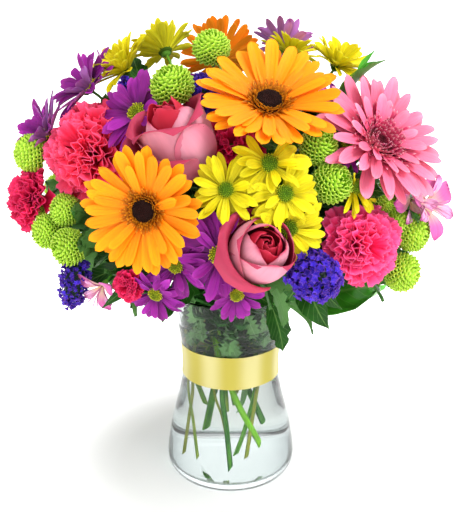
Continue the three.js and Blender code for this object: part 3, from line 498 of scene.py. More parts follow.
def add_buds(skin, places, directions, sizes, rings, sides, chance, share=0.0, lobes=0.0, finish=0):
    """Small closed turned shapes: each ring is (radius, height) in shares of the bud's size,
    from a bottom point to a top point. Every other point of a ring lies in by the lobes."""
    count = len(places)
    ring = np.array(rings, float)
    angle = 2 * np.pi * np.arange(sides) / sides
    inset = 1 - lobes * (np.arange(sides) % 2)
    shape = np.stack([
        ring[1:-1, :1] * inset * np.cos(angle),
        ring[1:-1, :1] * inset * np.sin(angle),
        np.repeat(ring[1:-1, 1:], sides, axis=1),
    ], axis=-1).reshape(-1, 3)
    poles = np.array([[0, 0, ring[0, 1]], [0, 0, ring[-1, 1]]])
    shape = np.concatenate([shape, poles])
    towards = np.where(np.abs(directions[:, 2:]) > 0.9, [[1.0, 0, 0]], [[0, 0, 1.0]])
    axes = frames_along(directions, towards)
    matrices = np.stack([axes[..., 2], axes[..., 1], axes[..., 0]], axis=-1)
    matrices[..., 1] = np.cross(matrices[..., 2], matrices[..., 0])
    sizes = np.broadcast_to(np.asarray(sizes, float).reshape(-1, 1, 1), (count, 1, 1))
    points = np.einsum("pij,vj->pvi", matrices, shape) * sizes + places[:, None, :]
    levels = len(rings) - 2
    heights = np.concatenate([np.repeat(np.linspace(0.1, 0.9, levels), sides), [0, 1]])
    uvs = np.zeros((count, len(shape), 2))
    uvs[..., 0] = 0.5
    uvs[..., 1] = heights
    marks = np.zeros((count, len(shape), 3))
    marks[..., 0] = np.asarray(chance).reshape(-1, 1)
    marks[..., 2] = np.asarray(share).reshape(-1, 1)
    at = np.arange(levels * sides).reshape(levels, sides)
    after = np.roll(at, -1, axis=1)
    quads = np.stack([at[:-1], after[:-1], after[1:], at[1:]], axis=-1).reshape(-1, 4)
    bottom = np.stack([np.full(sides, levels * sides), after[0], at[0]], axis=-1)
    top = np.stack([np.full(sides, levels * sides + 1), at[-1], after[-1]], axis=-1)
    first = (np.arange(count) * len(shape))[:, None, None]
    triangles = np.concatenate([bottom, top])[None] + first
    skin.add(points, uvs, marks, quads[None] + first, triangles, finish=finish)


def add_turned(skin, outline, sides, chance=0.5, finish=0):
    """A turned shape about +Z: its outline is (radius, height) from its lowest point on the
    axis to its highest."""
    add_buds(
        skin, np.zeros((1, 3)), np.array([[0, 0, 1.0]]), 1.0, outline, sides, np.array([chance]),
        finish=finish,
    )


def add_tube(skin, path, radii, sides, chance, finish=0, slant=0.0):
    """A round bar along a path, closed by a point at each end. Its rings stand square to the
    path, and start from a direction square to the chord and to the upright. The first ring
    is slanted, as a stem is cut."""
    tangent = unit(np.gradient(path, axis=0))
    chord = unit(path[-1] - path[0])
    side = np.cross(chord, [0, 0, 1.0])
    side = unit(side) if np.linalg.norm(side) > 0.1 else np.array([1.0, 0, 0])
    first = unit(side - (tangent @ side)[:, None] * tangent)
    second = np.cross(tangent, first)
    angle = 2 * np.pi * np.arange(sides) / sides
    radii = np.broadcast_to(np.asarray(radii, float).reshape(-1, 1, 1), (len(path), 1, 1))
    cosine, sine = np.cos(angle)[None, :, None], np.sin(angle)[None, :, None]
    ring = first[:, None] * cosine + second[:, None] * sine
    points = path[:, None] + radii * ring
    points[0] += slant * radii[0] * np.cos(angle)[:, None] * tangent[0]
    points = points.reshape(-1, 3)
    points = np.concatenate([points, path[:1] - 0.2 * tangent[:1], path[-1:] + 0.2 * tangent[-1:]])
    rows = len(path)
    u = np.broadcast_to(np.abs(np.linspace(-1, 1, sides)), (rows, sides))
    v = np.broadcast_to(np.linspace(0, 1, rows)[:, None], (rows, sides))
    uvs = np.concatenate([np.stack([u, v], axis=-1).reshape(-1, 2), [[0.5, 0], [0.5, 1]]])
    marks = np.tile([chance, 0, 0], (len(points), 1)).astype(float)
    at = np.arange(rows * sides).reshape(rows, sides)
    after = np.roll(at, -1, axis=1)
    quads = np.stack([at[:-1], after[:-1], after[1:], at[1:]], axis=-1)
    bottom = np.stack([np.full(sides, rows * sides), after[0], at[0]], axis=-1)
    top = np.stack([np.full(sides, rows * sides + 1), at[-1], after[-1]], axis=-1)
    skin.add(points, uvs, marks, quads, np.concatenate([bottom, top]), finish=finish)


def make_piece(name, skin, finishes, nodes):
    """A mesh object from a skin, in metres, that rides on the part and stands for its nodes."""
    points = np.concatenate(skin.points) * MM
    uvs = np.concatenate(skin.uvs)
    marks = np.concatenate(skin.marks)
    quads = np.concatenate(skin.quads)
    triangles = np.concatenate(skin.triangles) if skin.triangles else np.zeros((0, 3), int)
    loops = np.concatenate([quads.ravel(), triangles.ravel()]).astype(np.int32)
    starts = np.concatenate([
        np.arange(len(quads)) * 4, len(quads) * 4 + np.arange(len(triangles)) * 3,
    ]).astype(np.int32)
    mesh = bpy.data.meshes.new(name)
    mesh.vertices.add(len(points))
    mesh.loops.add(len(loops))
    mesh.polygons.add(len(starts))
    mesh.vertices.foreach_set("co", points.astype(np.float32).ravel())
    mesh.loops.foreach_set("vertex_index", loops)
    mesh.polygons.foreach_set("loop_start", starts)
    finish = np.concatenate([*skin.quad_finish, *skin.triangle_finish]).astype(np.int32)
    mesh.polygons.foreach_set("material_index", finish)
    mesh.update(calc_edges=True)
    layer = mesh.uv_layers.new(name="UVMap")
    layer.data.foreach_set("uv", uvs[loops].astype(np.float32).ravel())
    mark = mesh.attributes.new("marks", "FLOAT_COLOR", "POINT")
    full = np.ones((len(points), 1))
    mark.data.foreach_set("color", np.hstack([marks, full]).astype(np.float32).ravel())
    mesh.polygons.foreach_set("use_smooth", np.ones(len(starts), bool))
    mesh.set_sharp_from_angle(angle=math.radians(62))
    for finish_material in finishes:
        mesh.materials.append(finish_material)
    piece = bpy.data.objects.new(name, mesh)
    bpy.context.scene.collection.objects.link(piece)
    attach(piece, "root")
    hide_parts(*nodes)
    return piece


# --- finishes ---


def fill(tree, node, values):
    """Links a node's inputs to other nodes' results, or sets them."""
    for key, value in values.items():
        if isinstance(value, bpy.types.NodeSocket):
            tree.links.new(value, node.inputs[key])
        else:
            node.inputs[key].default_value = value


def new_node(tree, kind, values=None, **settings):
    """A node with its settings and its input values."""
    made = tree.nodes.new(kind)
    for key, value in settings.items():
        setattr(made, key, value)
    fill(tree, made, values or {})
    return made


def new_group(name, colours, numbers):
    """A shader group that works out a colour, a height and a roughness from named inputs: its
    tree, its inputs' sockets and its output node."""
    tree = bpy.data.node_groups.new(name, "ShaderNodeTree")
    for kind, labels in (("NodeSocketColor", colours), ("NodeSocketFloat", numbers)):
        for label in labels:
            tree.interface.new_socket(label, in_out="INPUT", socket_type=kind)
    for label, kind in (("Color", "NodeSocketColor"), ("Height", "NodeSocketFloat"),
                        ("Roughness", "NodeSocketFloat")):
        tree.interface.new_socket(label, in_out="OUTPUT", socket_type=kind)
    return tree, tree.nodes.new("NodeGroupInput").outputs, tree.nodes.new("NodeGroupOutput")


def calculate(tree, operation, a, b=0.0, c=0.0):
    """A Math node's result."""
    return new_node(tree, "ShaderNodeMath", {0: a, 1: b, 2: c}, operation=operation).outputs[0]


def blend_colours(tree, factor, a, b):
    """A colour mix's result."""
    return new_node(tree, "ShaderNodeMix", {0: factor, 6: a, 7: b}, data_type="RGBA").outputs[2]


def ramp(tree, value, low, high, to_low=0.0, to_high=1.0):
    """A smooth step from one value to another."""
    limits = {0: value, 1: low, 2: high, 3: to_low, 4: to_high}
    return new_node(
        tree, "ShaderNodeMapRange", limits, interpolation_type="SMOOTHSTEP").outputs[0]


def toned(tree, colour, value):
    """A colour made lighter or darker by a value about 1."""
    return new_node(tree, "ShaderNodeHueSaturation", {"Color": colour, "Value": value}).outputs[0]


def own_tone(tree, chance, spread):
    """A tone for each petal, from its random share: up to half the spread either way."""
    return calculate(tree, "MULTIPLY", calculate(tree, "SUBTRACT", chance, 0.5), spread)


def stretched_noise(tree, values, scales, detail):
    """Noise over up to three values, each stretched by its own scale."""
    scaled = [calculate(tree, "MULTIPLY", value, scale) for value, scale in zip(values, scales)]
    place = new_node(tree, "ShaderNodeCombineXYZ", dict(enumerate(scaled))).outputs[0]
    inputs = {"Vector": place, "Scale": 1.0, "Detail": detail}
    return new_node(tree, "ShaderNodeTexNoise", inputs).outputs[0]


def object_noise(tree, scale, detail=2.0):
    """Noise over the place in the object."""
    place = new_node(tree, "ShaderNodeTexCoord").outputs["Object"]
    inputs = {"Vector": place, "Scale": scale, "Detail": detail}
    return new_node(tree, "ShaderNodeTexNoise", inputs).outputs[0]


def bump(tree, strength, distance, height):
    """The normal of a surface with bumps of that height."""
    inputs = {"Strength": strength, "Distance": distance, "Height": height}
    return new_node(tree, "ShaderNodeBump", inputs).outputs[0]


def surface_inputs(tree):
    """The place across and along a petal, its random share, its back mark and its share."""
    place = new_node(tree, "ShaderNodeUVMap", uv_map="UVMap")
    across_along = new_node(tree, "ShaderNodeSeparateXYZ", {0: place.outputs[0]})
    marks = new_node(tree, "ShaderNodeAttribute", attribute_name="marks")
    parts = new_node(tree, "ShaderNodeSeparateColor", {0: marks.outputs["Color"]})
    return (*across_along.outputs[:2], *parts.outputs[:3])


def new_material(name):
    """A material with a Principled shader: (material, tree, shader)."""
    material = bpy.data.materials.new(name)
    material.use_nodes = True
    tree = material.node_tree
    return material, tree, tree.nodes["Principled BSDF"]


def opaque(colour):
    """A colour, or the colour of a hex code, with full opacity."""
    return (*(linear(colour) if isinstance(colour, str) else colour), 1.0)


def shaded(colour, factor):
    """A colour made lighter or darker."""
    return tuple(min(1.0, c * factor) for c in colour)


def petal_group():
    """Colour along a petal with fine streaks, a tone of its own and another colour behind."""
    if "petal_shade" in bpy.data.node_groups:
        return bpy.data.node_groups["petal_shade"]
    tree, given, result = new_group(
        "petal_shade", ("Root", "Body", "Tip", "Back", "Back Tip"),
        ("Streaks", "Spread", "Root Reach", "Edge"))
    across, along, chance, back, _ = surface_inputs(tree)
    off_middle = calculate(tree, "ABSOLUTE", calculate(tree, "SUBTRACT", across, 0.5))

    def tip_share(start, edge_start):
        edge = calculate(tree, "MULTIPLY", ramp(tree, off_middle, edge_start, 0.5), given["Edge"])
        whole = calculate(tree, "ADD", ramp(tree, along, start, 1.0), edge)
        return calculate(tree, "MINIMUM", whole, 1.0)

    rooted = ramp(tree, along, 0.0, given["Root Reach"])
    body = blend_colours(tree, rooted, given["Root"], given["Body"])
    front = blend_colours(tree, tip_share(0.55, 0.3), body, given["Tip"])
    behind = blend_colours(tree, tip_share(0.7, 0.25), given["Back"], given["Back Tip"])
    noise = stretched_noise(tree, (across, along, chance), (15.0, 2.2, 37.0), 3.0)
    streak = calculate(tree, "SUBTRACT", noise, 0.5)
    tone = calculate(tree, "MULTIPLY_ADD", streak, given["Streaks"], 1.0)
    value = calculate(tree, "ADD", tone, own_tone(tree, chance, given["Spread"]))
    fill(tree, result, {
        "Color": blend_colours(tree, back, toned(tree, front, value), toned(tree, behind, value)),
        "Height": noise,
        "Roughness": ramp(tree, noise, 0.2, 0.8, 0.5, 0.7),
    })
    return tree


def leaf_group():
    """A leaf's colour with a pale midrib, slanting side veins and a lighter under side."""
    if "leaf_shade" in bpy.data.node_groups:
        return bpy.data.node_groups["leaf_shade"]
    tree, given, result = new_group("leaf_shade", ("Body", "Vein", "Under"), ("Spread",))
    across, along, chance, back, _ = surface_inputs(tree)
    off_middle = calculate(tree, "ABSOLUTE", calculate(tree, "SUBTRACT", across, 0.5))
    midrib = ramp(tree, off_middle, 0.05, 0.0)
    drawn_back = calculate(tree, "MULTIPLY", off_middle, 5.0)
    slant = calculate(tree, "SUBTRACT", calculate(tree, "MULTIPLY", along, 9.0), drawn_back)
    wave = calculate(tree, "SUBTRACT", calculate(tree, "FRACT", slant), 0.5)
    side = ramp(tree, calculate(tree, "ABSOLUTE", wave), 0.09, 0.0)
    veins = calculate(tree, "MAXIMUM", midrib, calculate(tree, "MULTIPLY", side, 0.55))
    noise = object_noise(tree, 90.0, 3.0)
    tone = ramp(tree, noise, 0.25, 0.75, 0.75, 1.25)
    value = calculate(tree, "ADD", tone, own_tone(tree, chance, given["Spread"]))
    body = toned(tree, given["Body"], value)
    veined = blend_colours(tree, calculate(tree, "MULTIPLY", veins, 0.7), body, given["Vein"])
    sunk = calculate(tree, "MULTIPLY", veins, -0.8)
    fill(tree, result, {
        "Color": blend_colours(tree, back, veined, given["Under"]),
        "Height": calculate(tree, "ADD", sunk, calculate(tree, "MULTIPLY", noise, 0.3)),
        "Roughness": ramp(tree, noise, 0.3, 0.7, 0.3, 0.5),
    })
    return tree


def group_finish(name, group, colours, numbers, ribs, values):
    """A material whose colour, roughness and bump come from a shared group. The ribs are the
    bump's strength and its distance in metres."""
    material, tree, shader = new_material(name)
    shade = new_node(tree, "ShaderNodeGroup", numbers, node_tree=group)
    fill(tree, shade, {label: opaque(colour) for label, colour in colours.items()})
    fill(tree, shader, {
        "Base Color": shade.outputs["Color"],
        "Roughness": shade.outputs["Roughness"],
        "Normal": bump(tree, *ribs, shade.outputs["Height"]),
        **values,
    })
    return material


def petal_finish(
    name, root, body, tip, back, streaks=0.35, spread=0.2, root_reach=0.4, edge=0.0, ribs=0.25,
    back_tip=None,
):
    """Fresh petals: the shared petal shading, a fine ribbed bump, a faint gloss and a little light
    scattered through them.
    """
    return group_finish(
        name, petal_group(),
        {"Root": root, "Body": body, "Tip": tip, "Back": back, "Back Tip": back_tip or back},
        {"Streaks": streaks, "Spread": spread, "Root Reach": root_reach, "Edge": edge},
        (ribs, 0.0006),
        {"Specular IOR Level": 0.18, "Subsurface Weight": 0.2,
         "Subsurface Radius": (1.0, 0.6, 0.4), "Subsurface Scale": 0.003},
    )


def leaf_finish(name, body, vein, under, spread=0.5, gloss=0.0, shine=0.2):
    """Leaves: the shared leaf shading with a bump along the veins and a waxy coat."""
    return group_finish(
        name, leaf_group(), {"Body": body, "Vein": vein, "Under": under}, {"Spread": spread},
        (0.5, 0.0008),
        {"Specular IOR Level": shine, "Coat Weight": gloss, "Coat Roughness": 0.25},
    )


def stem_finish(name, *shades):
    """Stems: each has a shade of its own, with long light and dark streaks and faint ribs."""
    material, tree, shader = new_material(name)
    across, along, chance, _, _ = surface_inputs(tree)
    noise = stretched_noise(tree, (across, along, chance), (6.0, 9.0, 41.0), 4.0)
    own = calculate(tree, "ADD", chance, ramp(tree, noise, 0.3, 0.7, -0.12, 0.12))
    picked = new_node(tree, "ShaderNodeValToRGB", {0: own})
    stops = picked.color_ramp.elements
    for k in range(1, len(shades) - 1):
        stops.new(k / (len(shades) - 1))
    for stop, shade in zip(stops, shades):
        stop.color = opaque(shade)
    fill(tree, shader, {
        "Base Color": toned(tree, picked.outputs[0], ramp(tree, noise, 0.25, 0.75, 0.7, 1.2)),
        "Roughness": ramp(tree, noise, 0.2, 0.8, 0.35, 0.55),
        "Normal": bump(tree, 0.3, 0.0006, noise),
        "Specular IOR Level": 0.12,
    })
    return material


def disc_finish(name, centre, middle, rim):
    """A disc of florets: the colour runs from the centre to the rim, with a tone for each, and
    painted shade that darkens each floret towards its foot.
    """
    material, tree, shader = new_material(name)
    _, along, chance, _, share = surface_inputs(tree)
    inner = blend_colours(tree, ramp(tree, share, 0.1, 0.6), opaque(centre), opaque(middle))
    whole = blend_colours(tree, ramp(tree, share, 0.6, 0.95), inner, opaque(rim))
    # Painted shade: darker low down on each floret, where its neighbours crowd it
    painted_shade_low = ramp(tree, along, 0.0, 1.0, 0.45, 1.15)
    value = calculate(tree, "ADD", painted_shade_low, own_tone(tree, chance, 0.5))
    noise = object_noise(tree, 900.0)
    fill(tree, shader, {
        "Base Color": toned(tree, whole, value),
        "Roughness": ramp(tree, noise, 0.2, 0.8, 0.5, 0.8),
        "Normal": bump(tree, 0.4, 0.0003, noise),
        "Specular IOR Level": 0.15,
    })
    return material


def clear_finish(name, tint, index, wave, painted_edge_shade=None):
    """Glass or water: refracts light, lets shadow rays through and has a faint waviness. With a
    painted edge shade, its colour is darker where it is seen along its surface: painted shade in
    place of the grey reflections at the glass's edges."""
    material, tree, shader = new_material(name)
    noise = object_noise(tree, 22.0, 1.0)
    fill(tree, shader, {
        "Base Color": opaque(tint),
        "Roughness": ramp(tree, noise, 0.3, 0.7, 0.0, 0.004),
        "Normal": bump(tree, wave, 0.001, noise),
        "IOR": index,
        "Transmission Weight": 1.0,
        "Specular IOR Level": 0.2,
        "Specular Tint": (0.3, 0.3, 0.3, 1),
    })
    if painted_edge_shade:
        # Painted shade: the colour darkens towards the glass's outline, where it is seen edge on
        slanting = new_node(tree, "ShaderNodeLayerWeight", {"Blend": 0.5})
        edge = ramp(tree, slanting.outputs["Facing"], 0.1, 0.85)
        colour_with_painted_edge_shade = blend_colours(tree, edge, opaque(tint), opaque(painted_edge_shade))
        tree.links.new(colour_with_painted_edge_shade, shader.inputs["Base Color"])
    rays = new_node(tree, "ShaderNodeLightPath")
    clear = new_node(tree, "ShaderNodeBsdfTransparent", {"Color": opaque(shaded(tint, 0.97))})
    mixed = new_node(tree, "ShaderNodeMixShader", {
        0: rays.outputs["Is Shadow Ray"], 1: shader.outputs[0], 2: clear.outputs[0]})
    tree.links.new(mixed.outputs[0], tree.nodes["Material Output"].inputs["Surface"])
    return material


def satin_finish(name, body, light):
    """Satin ribbon: broad upright bands of painted highlight at fixed places round it, in the light
    colour and a little smoother, with a fine thread along its length.
    """
    material, tree, shader = new_material(name)
    across, along, _, _, _ = surface_inputs(tree)
    noise = stretched_noise(tree, (along,), (9.0,), 2.0)
    # Painted highlight: a wave round the ribbon, stirred by noise, sets where the light colour lies
    wave = calculate(tree, "SINE", calculate(tree, "MULTIPLY_ADD", along, 50.27, -1.13))
    bands = calculate(tree, "MULTIPLY_ADD", wave, 0.34, noise)
    threads = calculate(tree, "SINE", calculate(tree, "MULTIPLY", across, 420.0))
    painted_highlight = ramp(tree, bands, 0.12, 1.0)
    fill(tree, shader, {
        "Base Color": blend_colours(tree, painted_highlight, opaque(body), opaque(light)),
        "Roughness": ramp(tree, bands, 0.3, 0.8, 0.6, 0.48),
        "Normal": bump(tree, 0.2, 0.0004, calculate(tree, "MULTIPLY", threads, 0.04)),
        "Specular IOR Level": 0.25,
    })
    return material


# --- the blooms, each in its own frame with +Z as the way that it faces, in millimetres ---

# Outlines of petals and leaves: stations from the root to the tip, and the share of the full
# half width at each
STRAP = ([0, 0.15, 0.45, 0.75, 0.88, 0.95, 0.99, 1], [0.4, 0.58, 0.88, 1.0, 0.92, 0.7, 0.36, 0.1])
BLUNT = ([0, 0.15, 0.45, 0.7, 0.85, 0.94, 0.985, 1], [0.4, 0.56, 0.9, 1.0, 0.86, 0.6, 0.34, 0.1])
SPOON = ([0, 0.2, 0.5, 0.72, 0.86, 0.95, 1], [0.42, 0.6, 0.92, 1.0, 0.84, 0.5, 0.12])
FAN = ([0, 0.3, 0.6, 0.85, 1], [0.16, 0.34, 0.7, 1.0, 1.1])
SCOOP = ([0, 0.3, 0.65, 0.88, 0.97, 1], [0.6, 0.8, 1.0, 0.95, 0.7, 0.35])
POINTED = ([0, 0.2, 0.45, 0.7, 0.86, 0.95, 1], [0.2, 0.36, 0.8, 1.0, 0.84, 0.5, 0.1])
LOBED = (
    [0, 0.08, 0.2, 0.3, 0.42, 0.52, 0.64, 0.74, 0.86, 1],
    [0.1, 0.22, 0.8, 0.45, 1.0, 0.52, 0.92, 0.42, 0.55, 0.06])
SERRATED = (
    [0, 0.1, 0.2, 0.26, 0.36, 0.42, 0.52, 0.58, 0.68, 0.74, 0.84, 0.9, 1],
    [0.1, 0.3, 1.0, 0.3, 1.0, 0.28, 0.94, 0.26, 0.8, 0.22, 0.58, 0.16, 0.05])
OVAL = ([0, 0.12, 0.35, 0.6, 0.85, 1], [0.12, 0.5, 0.98, 0.9, 0.45, 0.05])
BLADE = ([0, 0.12, 0.4, 0.7, 1], [0.3, 0.7, 1.0, 0.7, 0.05])

# Layers of a gerbera's petals: count, start, height, reach, pitch, half width
GERBERA_LAYERS = {
    "orange": [
        (20, 0.0, -4.0, 1.08, 0.26, 0.1), (20, 0.5, -2.6, 1.05, 0.36, 0.095),
        (5, 0.2, -1.4, 0.86, 0.45, 0.08),
    ],
    "pink": [
        (20, 0.0, -3.8, 1.12, 0.16, 0.115), (19, 0.5, -2.2, 1.06, 0.3, 0.105),
        (13, 0.2, -0.9, 0.74, 0.5, 0.078),
    ],
}

# Rings of short petals round a gerbera's disc: count, distance of the root, reach, pitch, bend
GERBERA_FRINGES = {
    "orange": [
        (46, 0.17, 0.08, 1.05, 0.3), (52, 0.2, 0.09, 0.9, 0.4), (56, 0.23, 0.11, 0.65, 0.3),
        (56, 0.25, 0.15, 0.42, 0.2),
    ],
    "pink": [
        (26, 0.1, 0.09, 1.25, 0.5), (32, 0.15, 0.1, 1.2, 0.4), (38, 0.2, 0.12, 1.1, 0.3),
        (44, 0.25, 0.14, 1.0, 0.3), (48, 0.3, 0.15, 0.9, 0.2), (52, 0.35, 0.16, 0.75, 0.1),
        (44, 0.38, 0.24, 0.5, 0.0),
    ],
}


def petal_thickness():
    """The thickness of a plain petal in millimetres."""
    return bpy.context.scene.bouquet_sizes.petal_thickness / MM


def golden_order(count):
    """The order from 0 to 1 of things set one after another, and their golden angles."""
    return (np.arange(count) + 0.5) / count, np.arange(count) * GOLDEN_ANGLE


def rosette_angles(rng, count, start, jitter):
    """Angles of petals round the axis, with a little unevenness."""
    return 2 * np.pi * (np.arange(count) + start + jitter * rng.uniform(-0.5, 0.5, count)) / count


def add_rosette(skin, rng, grid, start, jitter, thickness, share=0.0, finish=0, near=()):
    """Petals set round the bloom's axis."""
    count = len(grid)
    grid = carry(grid, turn(2, rosette_angles(rng, count, start, jitter)))
    add_sheets(skin, grid, thickness, rng.uniform(size=count), share, finish, near)


def add_florets(skin, rng, share, inner, height, slope, sizes, rings, tone):
    """Florets at the golden angle on a dome: each lies at its share of the inner radius, and
    leans outwards by the slope times that share."""
    angle = np.arange(len(share)) * GOLDEN_ANGLE
    x, y = np.cos(angle), np.sin(angle)
    places = np.stack([share * inner * x, share * inner * y, height], axis=-1)
    lean = unit(np.stack([x * share * slope, y * share * slope, np.ones(len(share))], axis=-1))
    add_buds(skin, places, lean, sizes, rings, 5, rng.uniform(size=len(share)), tone)


def oval_outline(half_width, half_height, reach, points, low, high):
    """The outline of an oval body, with its lowest and its highest point on the axis."""
    angles = np.linspace(-reach, reach, points)
    sides = [(half_width * math.cos(a), half_height * math.sin(a)) for a in angles]
    return [(0, low), *sides, (0, high)]


def gerbera(bloom):
    """Layers of long ray petals that rise like a shallow cup."""
    skin = Skin()
    rng, radius = bloom.random(), bloom.radius
    near = neighbours(bloom, ("rose", "carnation", "button"))
    layers = GERBERA_LAYERS[bloom.colour]
    for order, (count, start, height, reach, pitch, width) in enumerate(layers):
        length = radius * (reach - 0.16) * rng.uniform(0.9, 1.04, count)
        grid = petal_grid(
            count, 12, 9, radius * 0.16, length, height, pitch + rng.uniform(-0.07, 0.1, count),
            rng.uniform(-0.34, 0.04, count), radius * width * rng.uniform(0.88, 1.12, count),
            BLUNT if bloom.colour == "pink" else STRAP, cup=rng.uniform(-0.12, 0.36, count),
            grooves=0.06, sweep=rng.uniform(-0.06, 0.06, count), rounding=0.1,
            twist=rng.uniform(-0.25, 0.25, count),
        )
        thickness = petal_thickness() * 1.2
        add_rosette(skin, rng, grid, start, 0.4, thickness, order / 2, near=near)
    return skin


def gerbera_disc(bloom):
    """A low cushion of florets inside rings of short upright petals with pale tips."""
    skin = Skin()
    rng, radius, pink = bloom.random(), bloom.radius, bloom.colour == "pink"
    inner = radius * (0.13 if pink else 0.19)
    wide = radius * (0.36 if pink else 0.22)
    add_turned(skin, [
        (0, -5), (wide * 0.8, -4.6), (wide, -1.2), (wide * 0.8, 0.9), (wide * 0.4, 1.5), (0, 1.3),
    ], 24)
    count = 70 if pink else 170
    share = np.sqrt(golden_order(count)[0])
    height = 1.0 + 1.3 * np.sin(np.pi * share**1.5)
    rings = [(0, -0.6), (0.55, 0), (0.7, 0.9), (0.3, 1.3), (0, 1.35)]
    sizes = radius * 0.021 * rng.uniform(0.85, 1.2, count)
    add_florets(skin, rng, share, inner, height, 0.5, sizes, rings, share * 0.6)
    for count, root, reach, pitch, bend in GERBERA_FRINGES[bloom.colour]:
        length = radius * reach * rng.uniform(0.75, 1.25, count)
        grid = petal_grid(
            count, 5, 3, radius * root, length, 0.3, pitch + rng.uniform(-0.22, 0.22, count), bend,
            radius * (0.025 if pink else 0.017), SPOON, cup=0.4,
            sweep=rng.uniform(-0.25, 0.25, count),
        )
        add_rosette(skin, rng, grid, root * 40, 0.6, 0.3, share=1.0, finish=1)
    return skin


def daisy_petals(bloom):
    """Layers of grooved, spoon-shaped petals; the closed ones stand up like a cup."""
    skin = Skin()
    rng, radius = bloom.random(), bloom.radius
    closed = CLOSED_DAISIES.get(bloom.node, 0.0)
    near = neighbours(bloom)
    layers = [
        (13, 0, -1.8, 0.06, 1.1), (13, 0.5, -0.9, 0.26, 1.04),
        (11 if closed else 4, 0.2, -0.2, 0.55, 0.84),
    ]
    for order, (count, start, height, pitch, reach) in enumerate(layers):
        length = radius * (reach - 0.14) * rng.uniform(0.8, 1.06, count)
        pitch = pitch + closed * (0.6 + 0.4 * order) + rng.uniform(-0.16, 0.22, count)
        grid = petal_grid(
            count, 9, 7, radius * 0.17, length, height, pitch,
            -0.25 + rng.uniform(-0.4, 0.3, count), radius * 0.13 * rng.uniform(0.84, 1.14, count),
            SPOON, cup=rng.uniform(0.05, 0.6, count), grooves=0.09,
            sweep=rng.uniform(-0.15, 0.15, count), rounding=0.1,
            twist=rng.uniform(-0.45, 0.45, count),
        )
        add_rosette(skin, rng, grid, start, 0.6, petal_thickness(), order / 2, near=near)
    return skin


def daisy_disc(bloom):
    """A dome of tight florets."""
    skin = Skin()
    rng, radius = bloom.random(), bloom.radius
    inner = radius * 0.25
    add_turned(skin, [
        (0, -4.5), (inner * 0.7, -4), (inner * 0.92, -0.9), (inner * 0.75, 1.2),
        (inner * 0.3, 2.0), (0, 2.1),
    ], 18)
    count = 85
    share = np.sqrt(golden_order(count)[0])
    rings = [(0, -0.5), (0.7, 0), (0.8, 0.8), (0.4, 1.2), (0, 1.25)]
    sizes = inner * 0.115 * rng.uniform(0.8, 1.25, count)
    add_florets(skin, rng, share, inner, 2.2 - 2.2 * share**2.5, 1.0, sizes, rings, share)
    return skin


def daisy(bloom):
    """A daisy's petals with its disc, which has the second finish."""
    skin = daisy_petals(bloom)
    skin.take(daisy_disc(bloom), np.eye(3), np.zeros(3), 1)
    return skin


def carnation(bloom):
    """Fans of petals with ruffled, toothed edges, from flat outer ones to upright inner ones."""
    skin = Skin()
    rng, radius = bloom.random(), bloom.radius
    count = 60 if radius > SPRAY_BLOOM else 40
    order, golden = golden_order(count)
    length = radius * (0.98 - 0.28 * order) * rng.uniform(0.84, 1.1, count)
    pitch = -0.05 + 1.35 * order**0.7 + rng.uniform(-0.25, 0.25, count)
    bend = 0.1 - 0.8 * order * rng.uniform(0.1, 1.2, count)
    width = radius * (0.46 - 0.1 * order) * rng.uniform(0.85, 1.15, count)
    grid = petal_grid(
        count, 10, 25, radius * (0.16 - 0.1 * order), length, radius * (-0.3 + 0.12 * order),
        pitch, bend, width, FAN, cup=rng.uniform(-0.2, 0.3, count),
        ruffle=radius * rng.uniform(0.05, 0.11, count), turns=rng.uniform(1.3, 2.4, count),
        phase=rng.uniform(0, 6.28, count), fringe=0.018, rounding=0.8,
        twist=rng.uniform(-0.6, 0.6, count) * order,
    )
    around_axis = turn(2, golden + rng.uniform(-0.3, 0.3, count))
    matrices = around_axis @ turn(0, rng.uniform(-0.35, 0.35, count) * order)
    chance = rng.uniform(size=count)
    add_sheets(skin, carry(grid, matrices), petal_thickness(), chance, share=order)
    return skin


# A rose's cups of petals from the outer one inwards: the angles of their petals, then the
# distances from the axis and the heights from a petal's root to its rim, then its spread, peak,
# curl and spiral. All but the angles and the spread are shares of the radius.
ROSE_LAYERS = [
    ((0.0,), (0.1, 0.6, 0.9, 1.02, 1.18, 1.34), (-0.94, -0.8, -0.36, 0.26, 0.5, 0.42),
     (2.0, 0.42, 0.0, 0.0)),
    ((1.75, -2.3, -0.4), (0.1, 0.56, 0.84, 0.84, 0.72, 0.68),
     (-0.92, -0.72, -0.2, 0.42, 0.72, 0.82), (1.65, 0.2, 0.14, 0.03)),
    ((0.6, 2.7, -1.5), (0.1, 0.46, 0.68, 0.64, 0.5, 0.44),
     (-0.86, -0.58, 0.0, 0.5, 0.74, 0.82), (1.5, 0.2, 0.06, 0.04)),
    ((1.5, -0.6, -2.7), (0.08, 0.36, 0.52, 0.46, 0.34, 0.3),
     (-0.8, -0.46, 0.1, 0.52, 0.72, 0.79), (1.5, 0.14, 0.05, 0.05)),
    ((0.2, 2.3, -1.9), (0.06, 0.26, 0.38, 0.3, 0.2, 0.17),
     (-0.7, -0.3, 0.2, 0.5, 0.68, 0.74), (1.6, 0.1, 0.04, 0.05)),
    ((1.2, -1.2, 3.1), (0.05, 0.17, 0.24, 0.18, 0.11, 0.08),
     (-0.5, -0.1, 0.3, 0.52, 0.66, 0.7), (1.7, 0.07, 0.03, 0.04)),
    ((0.0, 2.6), (0.03, 0.09, 0.12, 0.09, 0.05, 0.04), (-0.3, 0.0, 0.3, 0.5, 0.62, 0.66),
     (1.8, 0.05, 0.02, 0.03)),
]

# What a bud adds to that: its second cup is turned and flares, and its heart stands higher
BUD_CUP_ANGLES = (1.31, 3.14, -0.44)
BUD_CUP_RADII = np.array([0, 0, 0, 0, 0.12, 0.26])
BUD_CUP_RISE = np.array([0, 0, 0, 0.06, 0.06, 0.04])
BUD_HEART_RISE = np.array([0, 0.04, 0.1, 0.18, 0.24, 0.26])


